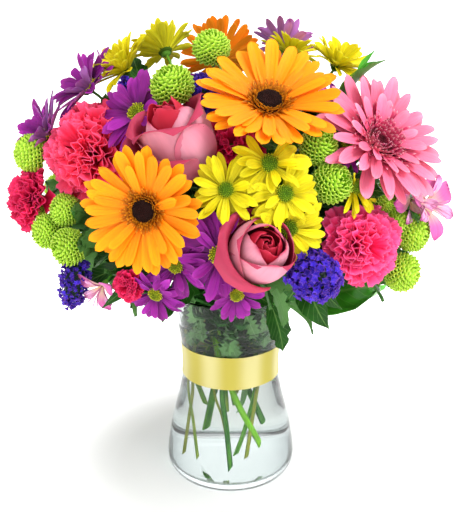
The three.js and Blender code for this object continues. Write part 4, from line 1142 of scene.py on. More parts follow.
def rose(bloom):
    """Cups of petals one inside the other round a tight heart, in one broad guard petal that
    tilts. In a bud the cup inside the guard flares, and the heart stands out of it."""
    skin = Skin()
    rng, radius, bud = bloom.random(), bloom.radius, bloom.node == "rose_upper"
    for order, (angles, radii, heights, (spread, peak, curl, spiral)) in enumerate(ROSE_LAYERS):
        radii, heights = np.array(radii), np.array(heights)
        if bud and order == 1:
            angles = BUD_CUP_ANGLES
            radii = radii + BUD_CUP_RADII
            heights = heights + BUD_CUP_RISE
        elif bud and order > 2:
            heights = heights + BUD_HEART_RISE
        count = len(angles)
        grid = cup_grid(
            count, 17, 19, np.array(angles) + rng.uniform(-0.1, 0.1, count), radius * radii,
            radius * heights, spread * rng.uniform(0.95, 1.05, count),
            radius * peak * rng.uniform(0.85, 1.15, count),
            radius * curl * rng.uniform(0.7, 1.3, count), radius * spiral,
            0 if order else radius * 0.22,
        )
        thickness, chance = petal_thickness() * 1.5, rng.uniform(size=count)
        add_sheets(skin, grid, thickness, chance, share=order / 6, finish=int(order > 2))
    return skin


def button(bloom):
    """A flattened ball of short, blunt, cupped petals at the golden angle, over a dark core."""
    skin = Skin()
    rng, radius = bloom.random(), bloom.radius
    core = oval_outline(0.66 * radius, 0.62 * radius, 1.3, 9, -0.7 * radius, 0.6 * radius)
    add_turned(skin, core, 16, finish=1)
    count = int(150 + radius * 4)
    order, angle = golden_order(count)
    up = 1 - 1.8 * order**0.9
    flat = np.sqrt(np.maximum(0, 1 - up**2))
    x, y = flat * np.cos(angle), flat * np.sin(angle)
    lean = unit(np.stack([x, y, up * 0.75 + 0.1], axis=-1))
    places = np.stack([x * 0.55, y * 0.55, up * 0.5], axis=-1) * radius
    towards = np.array([[0, 0, 1.0]]) + 0.15 * rng.normal(size=(count, 3))
    grid = petal_grid(
        count, 7, 5, 0.0, radius * (0.34 + 0.14 * flat) * rng.uniform(0.9, 1.08, count), 0.0,
        -0.35, 1.5, radius * (0.09 + 0.055 * flat) * rng.uniform(0.9, 1.1, count), SCOOP, cup=0.9,
        rounding=0.1,
    )
    grid = carry(grid, frames_along(lean, towards), places)
    add_sheets(skin, grid, petal_thickness(), rng.uniform(size=count), share=order)
    return skin


def statice(bloom):
    """Papery funnels with lobed rims, set all over a long head."""
    skin = Skin()
    rng, radius = bloom.random(), bloom.radius
    half = (1.95 if radius == SLIM_STATICE else 1.35) * radius
    count = int(110 + radius * 6)
    order, angle = golden_order(count)
    up = 1 - 1.85 * order
    flat = np.sqrt(np.maximum(0, 1 - up**2))
    outward = np.stack([flat * np.cos(angle), flat * np.sin(angle), up], axis=-1)
    body = np.array([radius * 0.68, radius * 0.68, half * 0.76])
    places = outward * body * rng.uniform(0.78, 1.1, (count, 1))
    lean = unit(outward + np.array([0, 0, 0.35]) + 0.45 * rng.normal(size=(count, 3)))
    rings = [(0, 0), (0.12, 0.05), (0.2, 0.5), (0.66, 1.0), (0.3, 0.74), (0, 0.5)]
    sizes = radius * rng.uniform(0.2, 0.32, count)
    add_buds(skin, places, lean, sizes, rings, 10, rng.uniform(size=count), order, lobes=0.42)
    core = oval_outline(0.55 * radius, half * 0.66, 1.2, 7, -half, half * 0.7)
    add_turned(skin, core, 10, finish=1)
    return skin


def alstroemeria(bloom):
    """Three broad and three narrow petals flare from a short throat, with curved stamens."""
    skin = Skin()
    rng, radius = bloom.random(), bloom.radius
    petals = ((1.2, 0.4, 0.5, 0.25), (1.1, 0.22, 0.8, 0.75))
    for order, (length, width, pitch, start) in enumerate(petals):
        grid = petal_grid(
            3, 12, 9, radius * 0.06, radius * length, -2.0, pitch + rng.uniform(-0.1, 0.1, 3),
            -0.7, radius * width, POINTED, cup=0.3, rounding=0.1, ruffle=0.8, turns=1.5,
        )
        thickness = petal_thickness()
        add_rosette(skin, rng, grid, start, 0.1, thickness, float(order), finish=order * 2)
    for angle in rosette_angles(rng, 6, 0.2, 0.4):
        x, y = math.cos(angle) * radius * 0.3, math.sin(angle) * radius * 0.3 - radius * 0.2
        tip = np.array([x, y, radius * 0.75])
        path = path_through([[0, 0, -1.5], tip * 0.5 + [0, 0, radius * 0.12], tip], 6)
        add_tube(skin, path, 0.45, 5, 0.5, finish=1)
    return skin


# --- leaves ---


def leaf_grid(rng, count, length, half_width, outline, rows=19, columns=7, bend=-0.7):
    """Leaves along their own +X with the upper side towards +Z."""
    return petal_grid(
        count, rows, columns, 0.0, length, 0.0, 0.0, bend * rng.uniform(0.5, 1.3, count),
        half_width, outline, cup=rng.uniform(0.15, 0.4, count),
        ruffle=np.asarray(half_width) * 0.12, turns=1.0, phase=rng.uniform(0, 6.28, count),
        sweep=rng.uniform(-0.12, 0.12, count), rounding=0.2,
    )


def outline_radius(height):
    """The outside radius of the vase at a height."""
    radii, heights = np.array(VASE_OUTLINE)[1:].T
    return curve_through(heights, radii, np.asarray(height, float))


def inside_vase(grid):
    """Points below the rim drawn in towards the axis until they lie within the glass. Above
    it the limit opens quickly."""
    wall = bpy.context.scene.bouquet_sizes.wall / MM
    height = grid[..., 2]
    reach = np.hypot(grid[..., 0], grid[..., 1])
    opening = 60 * np.clip((height - 197) / 12, 0, 1)
    limit = outline_radius(np.clip(height, 5, 198)) - wall - 0.9 + opening
    share = np.minimum(1, limit / np.maximum(reach, 1e-6))
    return grid * np.stack([share, share, np.ones_like(share)], axis=-1)


# --- where everything stands ---

# Each kind's rounded body: its middle along its axis and its half widths across and along
# it, in shares of the bloom's radius
BODIES = {
    "rose": (-0.1, 1.02, 0.85), "carnation": (0, 0.82, 0.66), "button": (0, 0.98, 0.98),
    "statice": (0, 0.7, 1.0), "gerbera": (0.05, 0.94, 0.22), "daisy": (0.4, 0.34, 0.7),
}


class Bloom:
    """One bloom of the table with its place and its frame."""

    def __init__(self, index, row):
        self.node, self.kind, self.colour, place, self.face, self.radius, spin = row
        self.index = index
        self.centre = HEART + direction(place[0], place[1]) * place[2]
        self.axis = direction(*self.face)
        near, share = SEATS[self.kind]
        self.seat = self.centre - self.axis * (near + share * self.radius)
        self.matrix = bloom_frame(self.face, spin)

    def random(self):
        """The same random numbers for this bloom on every run."""
        return np.random.default_rng(700 + self.index)


def all_blooms():
    """The table's blooms in order."""
    return [Bloom(index, row) for index, row in enumerate(BLOOMS)]


def neighbours(bloom=None, kinds=tuple(BODIES), gap=1.0):
    """The rounded bodies near a bloom, in its own frame (or all of them in the part's frame):
    each is its middle, and its three half widths as the columns of a matrix."""
    found = []
    for other in all_blooms():
        if other.kind not in kinds or (bloom and other.index == bloom.index):
            continue
        reach = other.radius + 1.2 * bloom.radius if bloom else math.inf
        if bloom and np.linalg.norm(other.centre - bloom.centre) > reach:
            continue
        along, wide, deep = BODIES[other.kind]
        middle = other.centre + other.axis * along * other.radius
        axes = other.matrix @ np.diag([wide, wide, deep]) * other.radius * gap
        if bloom:
            middle, axes = bloom.matrix.T @ (middle - bloom.centre), bloom.matrix.T @ axes
        found.append((middle, axes))
    return found


def azimuth_of(point):
    """Azimuth in degrees of a point round the vase's axis."""
    return math.degrees(math.atan2(point[0], -point[1]))


def around(azimuth, radius, height):
    """A point at an azimuth, a distance from the vase's axis and a height."""
    return direction(azimuth, 0) * radius + np.array([0, 0, height])


def nearest(points, place):
    """The point nearest to a place."""
    return points[np.argmin(np.linalg.norm(points - place, axis=1))]


def stem_points(mains, low, high):
    """The points of the main stems between two heights."""
    return np.concatenate([path[(path[:, 2] > low) & (path[:, 2] < high)] for _, path in mains])


def main_paths(blooms):
    """Paths of the stems of the large blooms, which cross in a spiral behind the ribbon:
    a list of (bloom, path)."""
    carried = [b for b in blooms if b.kind in STEM_RADII and b.radius > SPRAY_BLOOM]
    carried.sort(key=lambda b: azimuth_of(b.seat))
    mains = []
    for k, bloom in enumerate(carried):
        waist = 360 / len(carried) * (k + 0.5) - 180 - TWIST
        lean = min(1, math.hypot(bloom.seat[0], bloom.seat[1]) / LEAN_REACH)
        foot = around(waist - TWIST, FOOT_RADII[k % 3], FOOT_HEIGHT)
        tie = around(waist, TIE_RADIUS, TIE_HEIGHT)
        neck = around(azimuth_of(bloom.seat), NECK_RADIUS * (0.3 + 0.7 * lean), NECK_HEIGHT)
        last = bloom.seat - 22 * bloom.axis
        path = path_through([foot, tie, neck, last, bloom.seat + 2 * bloom.axis], 40)
        mains.append((bloom, path))
    return mains


def twig_paths(blooms, mains):
    """Paths of the twigs of all other blooms. Each leaves the nearest main stem above the
    neck, and the twigs of one stem leave it one above the other: a list of (bloom, path)."""
    taken = [0] * len(mains)
    main_blooms = {bloom.index for bloom, _ in mains}
    rest = [bloom for bloom in blooms if bloom.index not in main_blooms]
    twigs = []
    for bloom in sorted(rest, key=lambda b: b.seat[2]):
        best = None
        for k, (head, path) in enumerate(mains):
            height = BRANCH_LOW + BRANCH_RISE * taken[k]
            if head.seat[2] <= height + BRANCH_SPARE:
                continue
            start = path[np.argmax(path[:, 2] >= height)]
            reach = np.linalg.norm(start - bloom.seat)
            if best is None or reach < best[0]:
                best = (reach, k, start)
        taken[best[1]] += 1
        last = bloom.seat - 18 * bloom.axis
        twigs.append((bloom, path_through([best[2], last, bloom.seat + 1.5 * bloom.axis], 24)))
    return twigs


# --- stems and foliage ---

# How far above its foot a stem at the back ends, and how its end is slanted, in turn; and the
# height at which the others end
CUT_HEIGHTS = [30, 60, 18, 70, 44]
CUT_SLANTS = [1.2, -1.3, 0.9]
FRONT_CUT_HEIGHT = TIE_HEIGHT - 36

# Side shoots: their reach from the heart in front and elsewhere, the window that they leave
# open (azimuth, elevation, radius in degrees), and three more tips low at the front
SPRIG_REACH_FRONT, SPRIG_REACH = 126.0, 158.0
SPRIG_WINDOW = (42, 48, 17)
MORE_SPRIGS = ([13, 26, -34], [-6, -8, -8], 140)

# The pale leaves pressed against the inside of the glass
PRESSED_LEAVES = 19

# The leaves round the neck: the elevations of a stem's three, and how low they may hang
NECK_ELEVATIONS = [4.0, 20.0, 34.0]
NECK_FLOOR = 204

# The finishes of the stems and the foliage, by their place in the list
CUP, DULL, SUNK, WET = 1, 2, 3, 4


def calyx_outline(kind, radius):
    """The outline of the green cup behind a bloom, from its lowest point up, and its sides."""
    if kind == "gerbera":
        return [(0, -13), (3, -12.4), (5, -10), (8, -6.4), (0.17 * radius, -3.6), (0, -3.2)], 18
    if kind == "daisy":
        return [(0, -7), (2.2, -6.4), (4.2, -4.4), (0.17 * radius, -2.2), (0, -1.8)], 14
    if kind == "alstroemeria":
        return [(0, -8.5), (2, -8), (2.6, -5), (1.8, -2.2), (0, -2)], 10
    if kind == "carnation":
        low = -0.7 * radius
        return [
            (0, low - 4), (2.4, low - 3), (0.14 * radius, low + 3),
            (0.19 * radius, -0.38 * radius), (0.16 * radius, -0.2 * radius), (0, -0.18 * radius),
        ], 16
    low = -1.08 * radius
    return [
        (0, low), (2.6, low + 0.6), (0.2 * radius, low + 0.12 * radius),
        (0.17 * radius, low + 0.24 * radius), (0.3 * radius, low + 0.32 * radius),
        (0, low + 0.36 * radius),
    ], 16


def add_calyx(skin, bloom):
    """The green cup behind a bloom; a rose's has five pointed leaves."""
    if bloom.kind not in ("gerbera", "daisy", "alstroemeria", "carnation", "rose"):
        return
    cup = Skin()
    outline, sides = calyx_outline(bloom.kind, bloom.radius)
    add_turned(cup, outline, sides, finish=CUP)
    if bloom.kind == "rose":
        rng = bloom.random()
        grid = petal_grid(
            5, 8, 5, 1.5, bloom.radius * 0.85, outline[0][1] + 0.28 * bloom.radius, 0.35, 0.9,
            bloom.radius * 0.16, BLADE, cup=0.4,
        )
        add_rosette(cup, rng, grid, 0, 0.2, 0.5, finish=CUP)
    skin.take(cup, bloom.matrix, bloom.centre)


def add_leaves_along(
    skin, rng, path, count, length, width, outline, low, high, finish, near=(), rows=19,
    columns=7, lean=(0.45, 0.95), held=False,
):
    """Leaves that leave a stem one above the other, each a golden angle round from the last,
    and how many of them are kept. Held ones stay within the glass."""
    if count == 0:
        return 0
    share = (np.arange(count) + rng.uniform(0.1, 0.9, count)) / count
    index = ((len(path) - 1) * (low + (high - low) * share)).astype(int)
    start, along = path[index], unit(np.gradient(path, axis=0))[index]
    angle = rng.uniform(0, 6.28) + np.arange(count) * GOLDEN_ANGLE
    first = unit(np.cross(along, [[0.31, 0.17, 0.2]]))
    second = np.cross(along, first)
    side = first * np.cos(angle)[:, None] + second * np.sin(angle)[:, None]
    lean = rng.uniform(*lean, (count, 1))
    outward = unit(side * np.sin(lean) + along * np.cos(lean))
    grid = leaf_grid(
        rng, count, length * rng.uniform(0.75, 1.2, count), width * rng.uniform(0.8, 1.15, count),
        outline, rows, columns,
    )
    grid = carry(grid, frames_along(outward, along), start)
    if held:
        grid = inside_vase(grid)
    before = skin.count
    add_sheets(skin, grid, 0.45, rng.uniform(size=count), finish=finish, near=near)
    return (skin.count - before) // (2 * rows * columns)


def stems_with_cups(rng, blooms, mains, twigs):
    """The main stems with their cut ends, the stems behind the front of the glass, the twigs
    and the cups."""
    skin = Skin()
    for k, (bloom, path) in enumerate(mains):
        at_back = path[0, 1] > 5
        low = FOOT_HEIGHT + CUT_HEIGHTS[k % 5] if at_back else FRONT_CUT_HEIGHT
        cut = path[path[:, 2] >= low]
        taper = STEM_RADII[bloom.kind] * np.linspace(1.15, 0.85, len(cut))
        add_tube(skin, cut, taper, 12, (0.13 + k * 0.37) % 0.86, slant=CUT_SLANTS[k % 3])
    for shade, radius, points in FRONT_STEMS:
        add_tube(skin, inside_vase(path_through(points, 40)), radius, 12, shade, slant=1.3)
    for _, path in twigs:
        taper = 1.5 * np.linspace(1.1, 0.8, len(path))
        add_tube(skin, path, taper, 8, 0.3 * rng.uniform())
    for bloom in blooms:
        add_calyx(skin, bloom)
    return skin


def leaves_on_stems(rng, mains, twigs, near):
    """Leaves below each bloom: blades for carnations, ovals for roses and lobed ones."""
    skin = Skin()
    count = bpy.context.scene.bouquet_sizes.leaves_per_stem
    shapes = {"carnation": (BLADE, 5), "rose": (OVAL, 13)}
    for k, (bloom, path) in enumerate([*mains, *twigs]):
        main = k < len(mains)
        outline, width = shapes.get(bloom.kind, (LOBED, 14))
        add_leaves_along(
            skin, rng, path, count + 2 * main, 44, width, outline, 0.62 if main else 0.3, 0.9,
            DULL, near, 13, 5,
        )
    return skin


def leaves_between_blooms(rng, mains, near, count=52):
    """Leafy side shoots that fill the dome between the blooms: each leaves the nearest main
    stem above the neck and runs out to its own direction."""
    skin = Skin()
    order, golden = golden_order(count)
    elevation = np.degrees(np.arcsin(-0.3 + 1.28 * order))
    azimuth = np.degrees(golden) % 360 - 180
    reach = np.where(np.abs(azimuth) < 85, SPRIG_REACH_FRONT, SPRIG_REACH)
    reach = reach + rng.uniform(-8, 8, count)
    open_azimuth, open_elevation, open_radius = SPRIG_WINDOW
    apart = np.hypot(azimuth - open_azimuth, elevation - open_elevation)
    tips = (HEART + direction(azimuth, elevation) * reach[:, None])[apart >= open_radius]
    more_azimuths, more_elevations, more_reach = MORE_SPRIGS
    more = HEART + direction(more_azimuths, more_elevations) * more_reach
    starts = stem_points(mains, 212, 262)
    for tip in np.concatenate([tips, more]):
        start = nearest(starts, tip)
        middle = (start + tip) / 2 + rng.uniform(-8, 8, 3)
        path = path_through([start, middle, tip], 14)
        outline = OVAL if rng.uniform() < 0.4 else LOBED
        kept = add_leaves_along(
            skin, rng, path, 7, 44, 13, outline, 0.25, 1.0, DULL, near, 12, 5, (0.3, 1.15))
        if kept > 3:
            twig = path[: 6 + kept]
            add_tube(skin, twig, np.linspace(1.2, 0.7, len(twig)), 6, 0.3)
    return skin


def leaves_in_the_vase(rng, mains):
    """Leaves left on the stems in the upper vase, and pale ones pressed against the glass on
    short stalks."""
    skin = Skin()
    for k, (_, path) in enumerate(mains):
        add_leaves_along(
            skin, rng, path, 6, 46, 12, LOBED, 0.34, 0.54, SUNK, rows=15, lean=(0.3, 1.25),
            held=True)
        add_leaves_along(
            skin, rng, path, 3, 40, 10, OVAL, 0.33, 0.5, SUNK, rows=9, columns=5,
            lean=(0.6, 1.4), held=True)
        add_leaves_along(
            skin, rng, path[::-1], k % 2, 44, 4.5, BLADE, 0.66, 0.76, WET, rows=9, columns=5,
            lean=(0.2, 0.5), held=True)
    count = PRESSED_LEAVES
    azimuth = np.arange(count) * 360 / count + rng.uniform(-7, 7, count) + 8
    height = 140 + 34 * ((np.arange(count) * 0.618) % 1)
    outward = direction(azimuth, 0.0)
    root = outward * (outline_radius(height) - 6)[:, None]
    root[:, 2] = height
    up = [0, 0, 1.0]
    along = unit(np.cross(outward, up) * rng.uniform(-1.1, 1.1, (count, 1)) + up)
    grid = leaf_grid(rng, count, rng.uniform(28, 40, count), 10.0, SERRATED, 27, 7, bend=-0.15)
    grid = inside_vase(carry(grid, frames_along(along, outward), root))
    add_sheets(skin, grid, 0.4, rng.uniform(size=count), finish=WET)
    starts = stem_points(mains, 118, 150)
    for place in root:
        start = nearest(starts, place)
        path = path_through([start, (start + place) / 2 - [0, 0, 3], place + [0, 0, 1]], 8)
        add_tube(skin, path, 0.7, 6, 0.3)
    return skin


def leaves_at_the_neck(rng, mains, near):
    """Three lobed leaves from each main stem, spread over the rim and round the neck."""
    skin = Skin()
    for _, path in mains:
        root = path[np.argmax(path[:, 2] >= NECK_HEIGHT)]
        azimuth = azimuth_of(root) + rng.uniform(-12, 12, 3)
        lift = 16 * np.clip(np.cos(np.radians(azimuth)), 0, 1)
        elevation = np.array(NECK_ELEVATIONS) + lift + rng.uniform(-6, 6, 3)
        outward = direction(azimuth, elevation)
        grid = leaf_grid(rng, 3, 70 * rng.uniform(0.85, 1.1, 3), 16.0, LOBED, bend=-0.5)
        up = np.broadcast_to([0, 0, 1.0], (3, 3)) + 0.3 * rng.normal(size=(3, 3))
        grid = carry(grid, frames_along(outward, up), np.broadcast_to(root, (3, 3)))
        height = grid[..., 2]
        lifted = np.maximum(height, NECK_FLOOR + 0.1 * height)
        grid[..., 2] = np.where(grid[..., 1] < 0, lifted, height)
        add_sheets(skin, grid, 0.45, rng.uniform(size=3), near=near)
    return skin


def wall_points(wall, top, steps):
    """Points up the inside of the glass, from above the rounded edge of its floor."""
    heights = np.linspace(VASE_FLOOR + 5.5, top, steps)
    return [(float(outline_radius(z)) - wall, float(z)) for z in heights]


def make_turned(name, outline, finish, node):
    """A piece with one turned body."""
    skin = Skin()
    add_turned(skin, outline, 96)
    make_piece(name, skin, [finish], [node])


def settings():
    """The user's colours and sizes."""
    return bpy.context.scene.bouquet_colours, bpy.context.scene.bouquet_sizes


def gather(kind):
    """The blooms of a kind, by node: {node: [blooms]}."""
    found = {}
    for bloom in all_blooms():
        if bloom.kind == kind:
            found.setdefault(bloom.node, []).append(bloom)
    return found


def build_blooms(kind, maker, finishes, suffix="petals"):
    """One piece for each node: all its blooms, made by the maker and set in their places. The
    finishes are given for each colour."""
    for node, blooms in gather(kind).items():
        skin = Skin()
        for bloom in blooms:
            skin.take(maker(bloom), bloom.matrix, bloom.centre)
        colour = blooms[0].colour
        make_piece(f"{node}_{suffix}", skin, finishes[colour], [node])


# --- operators ---


class BOUQUET_OT_vase(bpy.types.Operator):
    """Builds the clear glass vase: a thick foot, a narrow waist and a rounded rim"""

    bl_idname = "bouquet.vase"
    bl_label = "Glass Vase"

    def execute(self, context):
        _, sizes = settings()
        inside = wall_points(sizes.wall / MM, 196, 26)
        edge = inside[0][0]
        outside = [(0, 1.4), (20, 1.1), (44, 0.8), (58, 0.4), *[tuple(p) for p in VASE_OUTLINE]]
        rim = [(63.2, 199.6), (62.2, VASE_HEIGHT), (61.2, 199.6), (60.7, 198.4)]
        floor = [
            (edge - 1.2, VASE_FLOOR + 2.2), (edge - 6, VASE_FLOOR + 0.5), (edge - 16, VASE_FLOOR),
            (20, VASE_FLOOR - 0.2), (0, VASE_FLOOR - 0.3),
        ]
        # The last colour is the painted shade at the glass's edges
        glass = clear_finish("clear_glass", (0.965, 0.985, 0.98), 1.43, 0.02, (0.54, 0.58, 0.6))
        outline = [*outside, *rim, *inside[::-1], *floor]
        make_turned("vase_clear_glass", outline, glass, "vase_glass")
        return {"FINISHED"}


class BOUQUET_OT_water(bpy.types.Operator):
    """Builds the water, which touches the glass and creeps up a little at its edge"""

    bl_idname = "bouquet.water"
    bl_label = "Water"

    def execute(self, context):
        _, sizes = settings()
        level = sizes.water_level / MM
        side = wall_points(sizes.wall / MM - 0.12, level, 22)
        foot, edge = side[0][0], side[-1][0]
        low = [
            (0, VASE_FLOOR - 0.38), (20, VASE_FLOOR - 0.28), (foot - 16, VASE_FLOOR - 0.1),
            (foot - 6, VASE_FLOOR + 0.4), (foot - 1.2, VASE_FLOOR + 2.1),
        ]
        top = [
            (edge - 0.8, level - 0.7), (edge - 3, level - 1.4), (30, level - 1.6),
            (0, level - 1.6),
        ]
        water = clear_finish("clear_water", (0.97, 0.99, 0.985), 1.333, 0.015)
        make_turned("vase_clear_water", [*low, *side, *top], water, "vase_water")
        return {"FINISHED"}


class BOUQUET_OT_ribbon(bpy.types.Operator):
    """Builds the satin ribbon, pulled tight round the waist of the vase"""

    bl_idname = "bouquet.ribbon"
    bl_label = "Ribbon"

    def execute(self, context):
        colours, sizes = settings()
        turn_share = np.linspace(0, 1, 193)[:, None]
        across = np.linspace(-1, 1, 13)[None, :]
        angle = 2 * np.pi * turn_share * RIBBON_TURNS - math.pi / 2
        half = (RIBBON_HIGH - RIBBON_LOW) / 2 - 0.4
        wave = 0.25 * np.sin(angle * 3.0) + 0.15 * np.sin(angle * 7.0 + 1)
        height = (RIBBON_LOW + RIBBON_HIGH) / 2 + half * across + wave
        lap = 0.32 + 0.75 * np.clip((turn_share - 0.93) / 0.05, 0, 1)
        radius = outline_radius(height) + lap + 0.12 * (1 - across**2)
        points = np.broadcast_arrays(radius * np.cos(angle), -radius * np.sin(angle), height)
        skin = Skin()
        # The sheet grows outwards, so its faces are turned over
        thickness = -sizes.ribbon_thickness / MM
        add_sheets(skin, np.stack(points, axis=-1)[None], thickness, np.array([0.5]))
        skin.quads = [quads[:, ::-1] for quads in skin.quads]
        # The second colour is the satin's painted highlight
        satin = satin_finish("ribbon_satin", colours.ribbon, "D8CE8C")
        piece = make_piece("ribbon_satin_band", skin, [satin], ["ribbon_band"])
        return {"FINISHED"}


class BOUQUET_OT_stems(bpy.types.Operator):
    """Builds the stems in the water, their twigs, the green cups and the leaves on them"""

    bl_idname = "bouquet.stems"
    bl_label = "Stems and Foliage"

    def execute(self, context):
        colours, _ = settings()
        blooms = all_blooms()
        mains = main_paths(blooms)
        twigs = twig_paths(blooms, mains)
        near = neighbours() + neighbours(kinds=("daisy",), gap=1.8)
        finishes = [
            stem_finish("stem_green", "2E6A2A", colours.stem, "9A9A3C", "3E7A2C", "7CC022"),
            stem_finish("cup_green", "6FA83A", "3C6E22"),
            leaf_finish("leaf_dull", shaded(colours.leaf, 0.8), "6E9A4A", "4E7C3A"),
            leaf_finish("leaf_sunk", "265820", "447438", "34642C", shine=0.04),
            leaf_finish("leaf_wet", "6C9C5A", "A0C48C", "80AA70", spread=0.4, shine=0.04),
        ]
        # One row of random numbers runs through all of these, so their order stays
        rng = np.random.default_rng(12)
        nodes = ["stems_and_foliage"]
        skin = stems_with_cups(rng, blooms, mains, twigs)
        make_piece("stems_with_cups", skin, finishes, nodes)
        skin = leaves_on_stems(rng, mains, twigs, near)
        make_piece("leaves_on_stems", skin, finishes, nodes)
        skin = leaves_between_blooms(rng, mains, near)
        make_piece("leaves_between_blooms", skin, finishes, nodes)
        skin = leaves_in_the_vase(rng, mains)
        make_piece("leaves_in_the_vase", skin, finishes, nodes)
        skin = leaves_at_the_neck(rng, mains, near)
        make_piece("leaves_at_the_neck", skin, [finishes[DULL]], nodes)
        return {"FINISHED"}


class BOUQUET_OT_gerberas(bpy.types.Operator):
    """Builds the gerberas: layers of long petals round a disc of florets"""

    bl_idname = "bouquet.gerberas"
    bl_label = "Gerberas"

    def execute(self, context):
        colours, _ = settings()
        petals = {
            "orange": [petal_finish(
                "gerbera_orange", "F27C00", colours.orange, "FF9E06", "F88A12", streaks=0.5,
                spread=0.28, root_reach=0.6)],
            "pink": [petal_finish(
                "gerbera_pink", "D83E68", colours.pink, "F592AC", "E87C98", streaks=0.5,
                spread=0.25, root_reach=0.6)],
        }
        build_blooms("gerbera", gerbera, petals)
        discs = {
            "orange": [
                disc_finish("gerbera_dark_disc", "2A0E0A", "1C0805", "3A1608"),
                petal_finish(
                    "gerbera_orange_fringe", "6C2E04", "BE6606", "FFB41C", "C8780C", streaks=0.2,
                    spread=0.5, root_reach=0.5),
            ],
            "pink": [
                disc_finish("gerbera_rosy_disc", "4A0A18", "8A1A38", "D85A84"),
                petal_finish(
                    "gerbera_pink_fringe", "7E1236", "BC3058", "F4AEC2", "CC4A70", streaks=0.2,
                    spread=0.3, root_reach=0.5, back_tip="FAC8D6"),
            ],
        }
        for node, (bloom,) in gather("gerbera").items():
            skin = Skin()
            skin.take(gerbera_disc(bloom), bloom.matrix, bloom.centre)
            make_piece(f"{node}_florets", skin, discs[bloom.colour], [f"{node}_disc"])
        return {"FINISHED"}


class BOUQUET_OT_daisies(bpy.types.Operator):
    """Builds the yellow and purple daisies with their green discs"""

    bl_idname = "bouquet.daisies"
    bl_label = "Daisies"

    def execute(self, context):
        colours, _ = settings()
        finishes = {
            "yellow": [
                petal_finish(
                    "daisy_yellow", "BCAE06", colours.yellow, "E2D41C", "DAD01E", streaks=0.8,
                    spread=0.3, back_tip="E6E030"),
                disc_finish("daisy_green_disc", "4E7410", "6C8C12", "A6AC18"),
            ],
            "purple": [
                petal_finish(
                    "daisy_purple", "5A0E5C", colours.purple, "A4309E", "B070BC", streaks=0.7,
                    spread=0.6, back_tip="8A2488"),
                disc_finish("daisy_lime_disc", "6C7E12", "9CA61E", "CFC42A"),
            ],
        }
        build_blooms("daisy", daisy, finishes)
        return {"FINISHED"}


class BOUQUET_OT_roses(bpy.types.Operator):
    """Builds the coral-pink roses"""

    bl_idname = "bouquet.roses"
    bl_label = "Roses"

    def execute(self, context):
        colours, _ = settings()
        outer = petal_finish(
            "rose_petal", "92243A", "982842", "B23856", colours.rose, streaks=0.35, spread=0.14,
            root_reach=0.5, edge=0.6, ribs=0.1, back_tip="C23E60")
        heart = petal_finish(
            "rose_heart", "8A0A1C", "A81024", "BC2038", "B41C34", streaks=0.2, spread=0.14,
            root_reach=0.5, ribs=0.1, back_tip="CC3450")
        build_blooms("rose", rose, {"rose": [outer, heart]})
        return {"FINISHED"}


class BOUQUET_OT_carnations(bpy.types.Operator):
    """Builds the coral, pink and crimson carnations"""

    bl_idname = "bouquet.carnations"
    bl_label = "Carnations"

    def execute(self, context):
        colours, _ = settings()
        shades = (
            ("coral", "E01E4C", colours.coral, "FF5A88", "FF4A74"),
            ("carnation_pink", "EE1E64", colours.carnation_pink, "FF5E98", "FF4C8A"),
            ("crimson", "A80A38", colours.crimson, "F03470", "DC245A"),
        )
        finishes = {
            name: [petal_finish(
                f"carnation_{name}", root, body, tip, back, streaks=0.4, spread=0.35,
                root_reach=0.75)]
            for name, root, body, tip, back in shades
        }
        build_blooms("carnation", carnation, finishes)
        return {"FINISHED"}


class BOUQUET_OT_buttons(bpy.types.Operator):
    """Builds the green button blooms"""

    bl_idname = "bouquet.buttons"
    bl_label = "Button Blooms"

    def execute(self, context):
        colours, _ = settings()
        petal = petal_finish(
            "button_petal", "6CA812", colours.button, "C8E85A", "A6D438", streaks=0.2,
            spread=0.25, root_reach=0.8, back_tip="C8E85A")
        core = leaf_finish("button_core", "5E9414", "7AAC28", "5E9414")
        build_blooms("button", button, {"button": [petal, core]})
        return {"FINISHED"}


class BOUQUET_OT_statice(bpy.types.Operator):
    """Builds the blue-violet statice"""

    bl_idname = "bouquet.statice"
    bl_label = "Statice"

    def execute(self, context):
        colours, _ = settings()
        floret = petal_finish(
            "statice_floret", "1C1060", colours.statice, "5238C8", colours.statice, streaks=0.4,
            spread=0.7, root_reach=0.7)
        core = leaf_finish("statice_core", "160C40", "24401A", "160C40")
        build_blooms("statice", statice, {"statice": [floret, core]})
        return {"FINISHED"}


class BOUQUET_OT_alstroemerias(bpy.types.Operator):
    """Builds the pink alstroemerias"""

    bl_idname = "bouquet.alstroemerias"
    bl_label = "Alstroemerias"

    def execute(self, context):
        colours, _ = settings()
        finishes = [
            petal_finish(
                "alstroemeria_petal", "E4C8A8", colours.alstroemeria, "BC4890", "D880B8",
                streaks=0.6, spread=0.2, root_reach=0.5),
            stem_finish("alstroemeria_stamen", "E8B0CC", "C46A9C"),
            petal_finish(
                "alstroemeria_streaked", "DCBC84", "DC9CC4", "B8428A", "D880B8", streaks=2.2,
                spread=0.2, root_reach=0.5),
        ]
        build_blooms("alstroemeria", alstroemeria, {"alstroemeria": finishes})
        return {"FINISHED"}


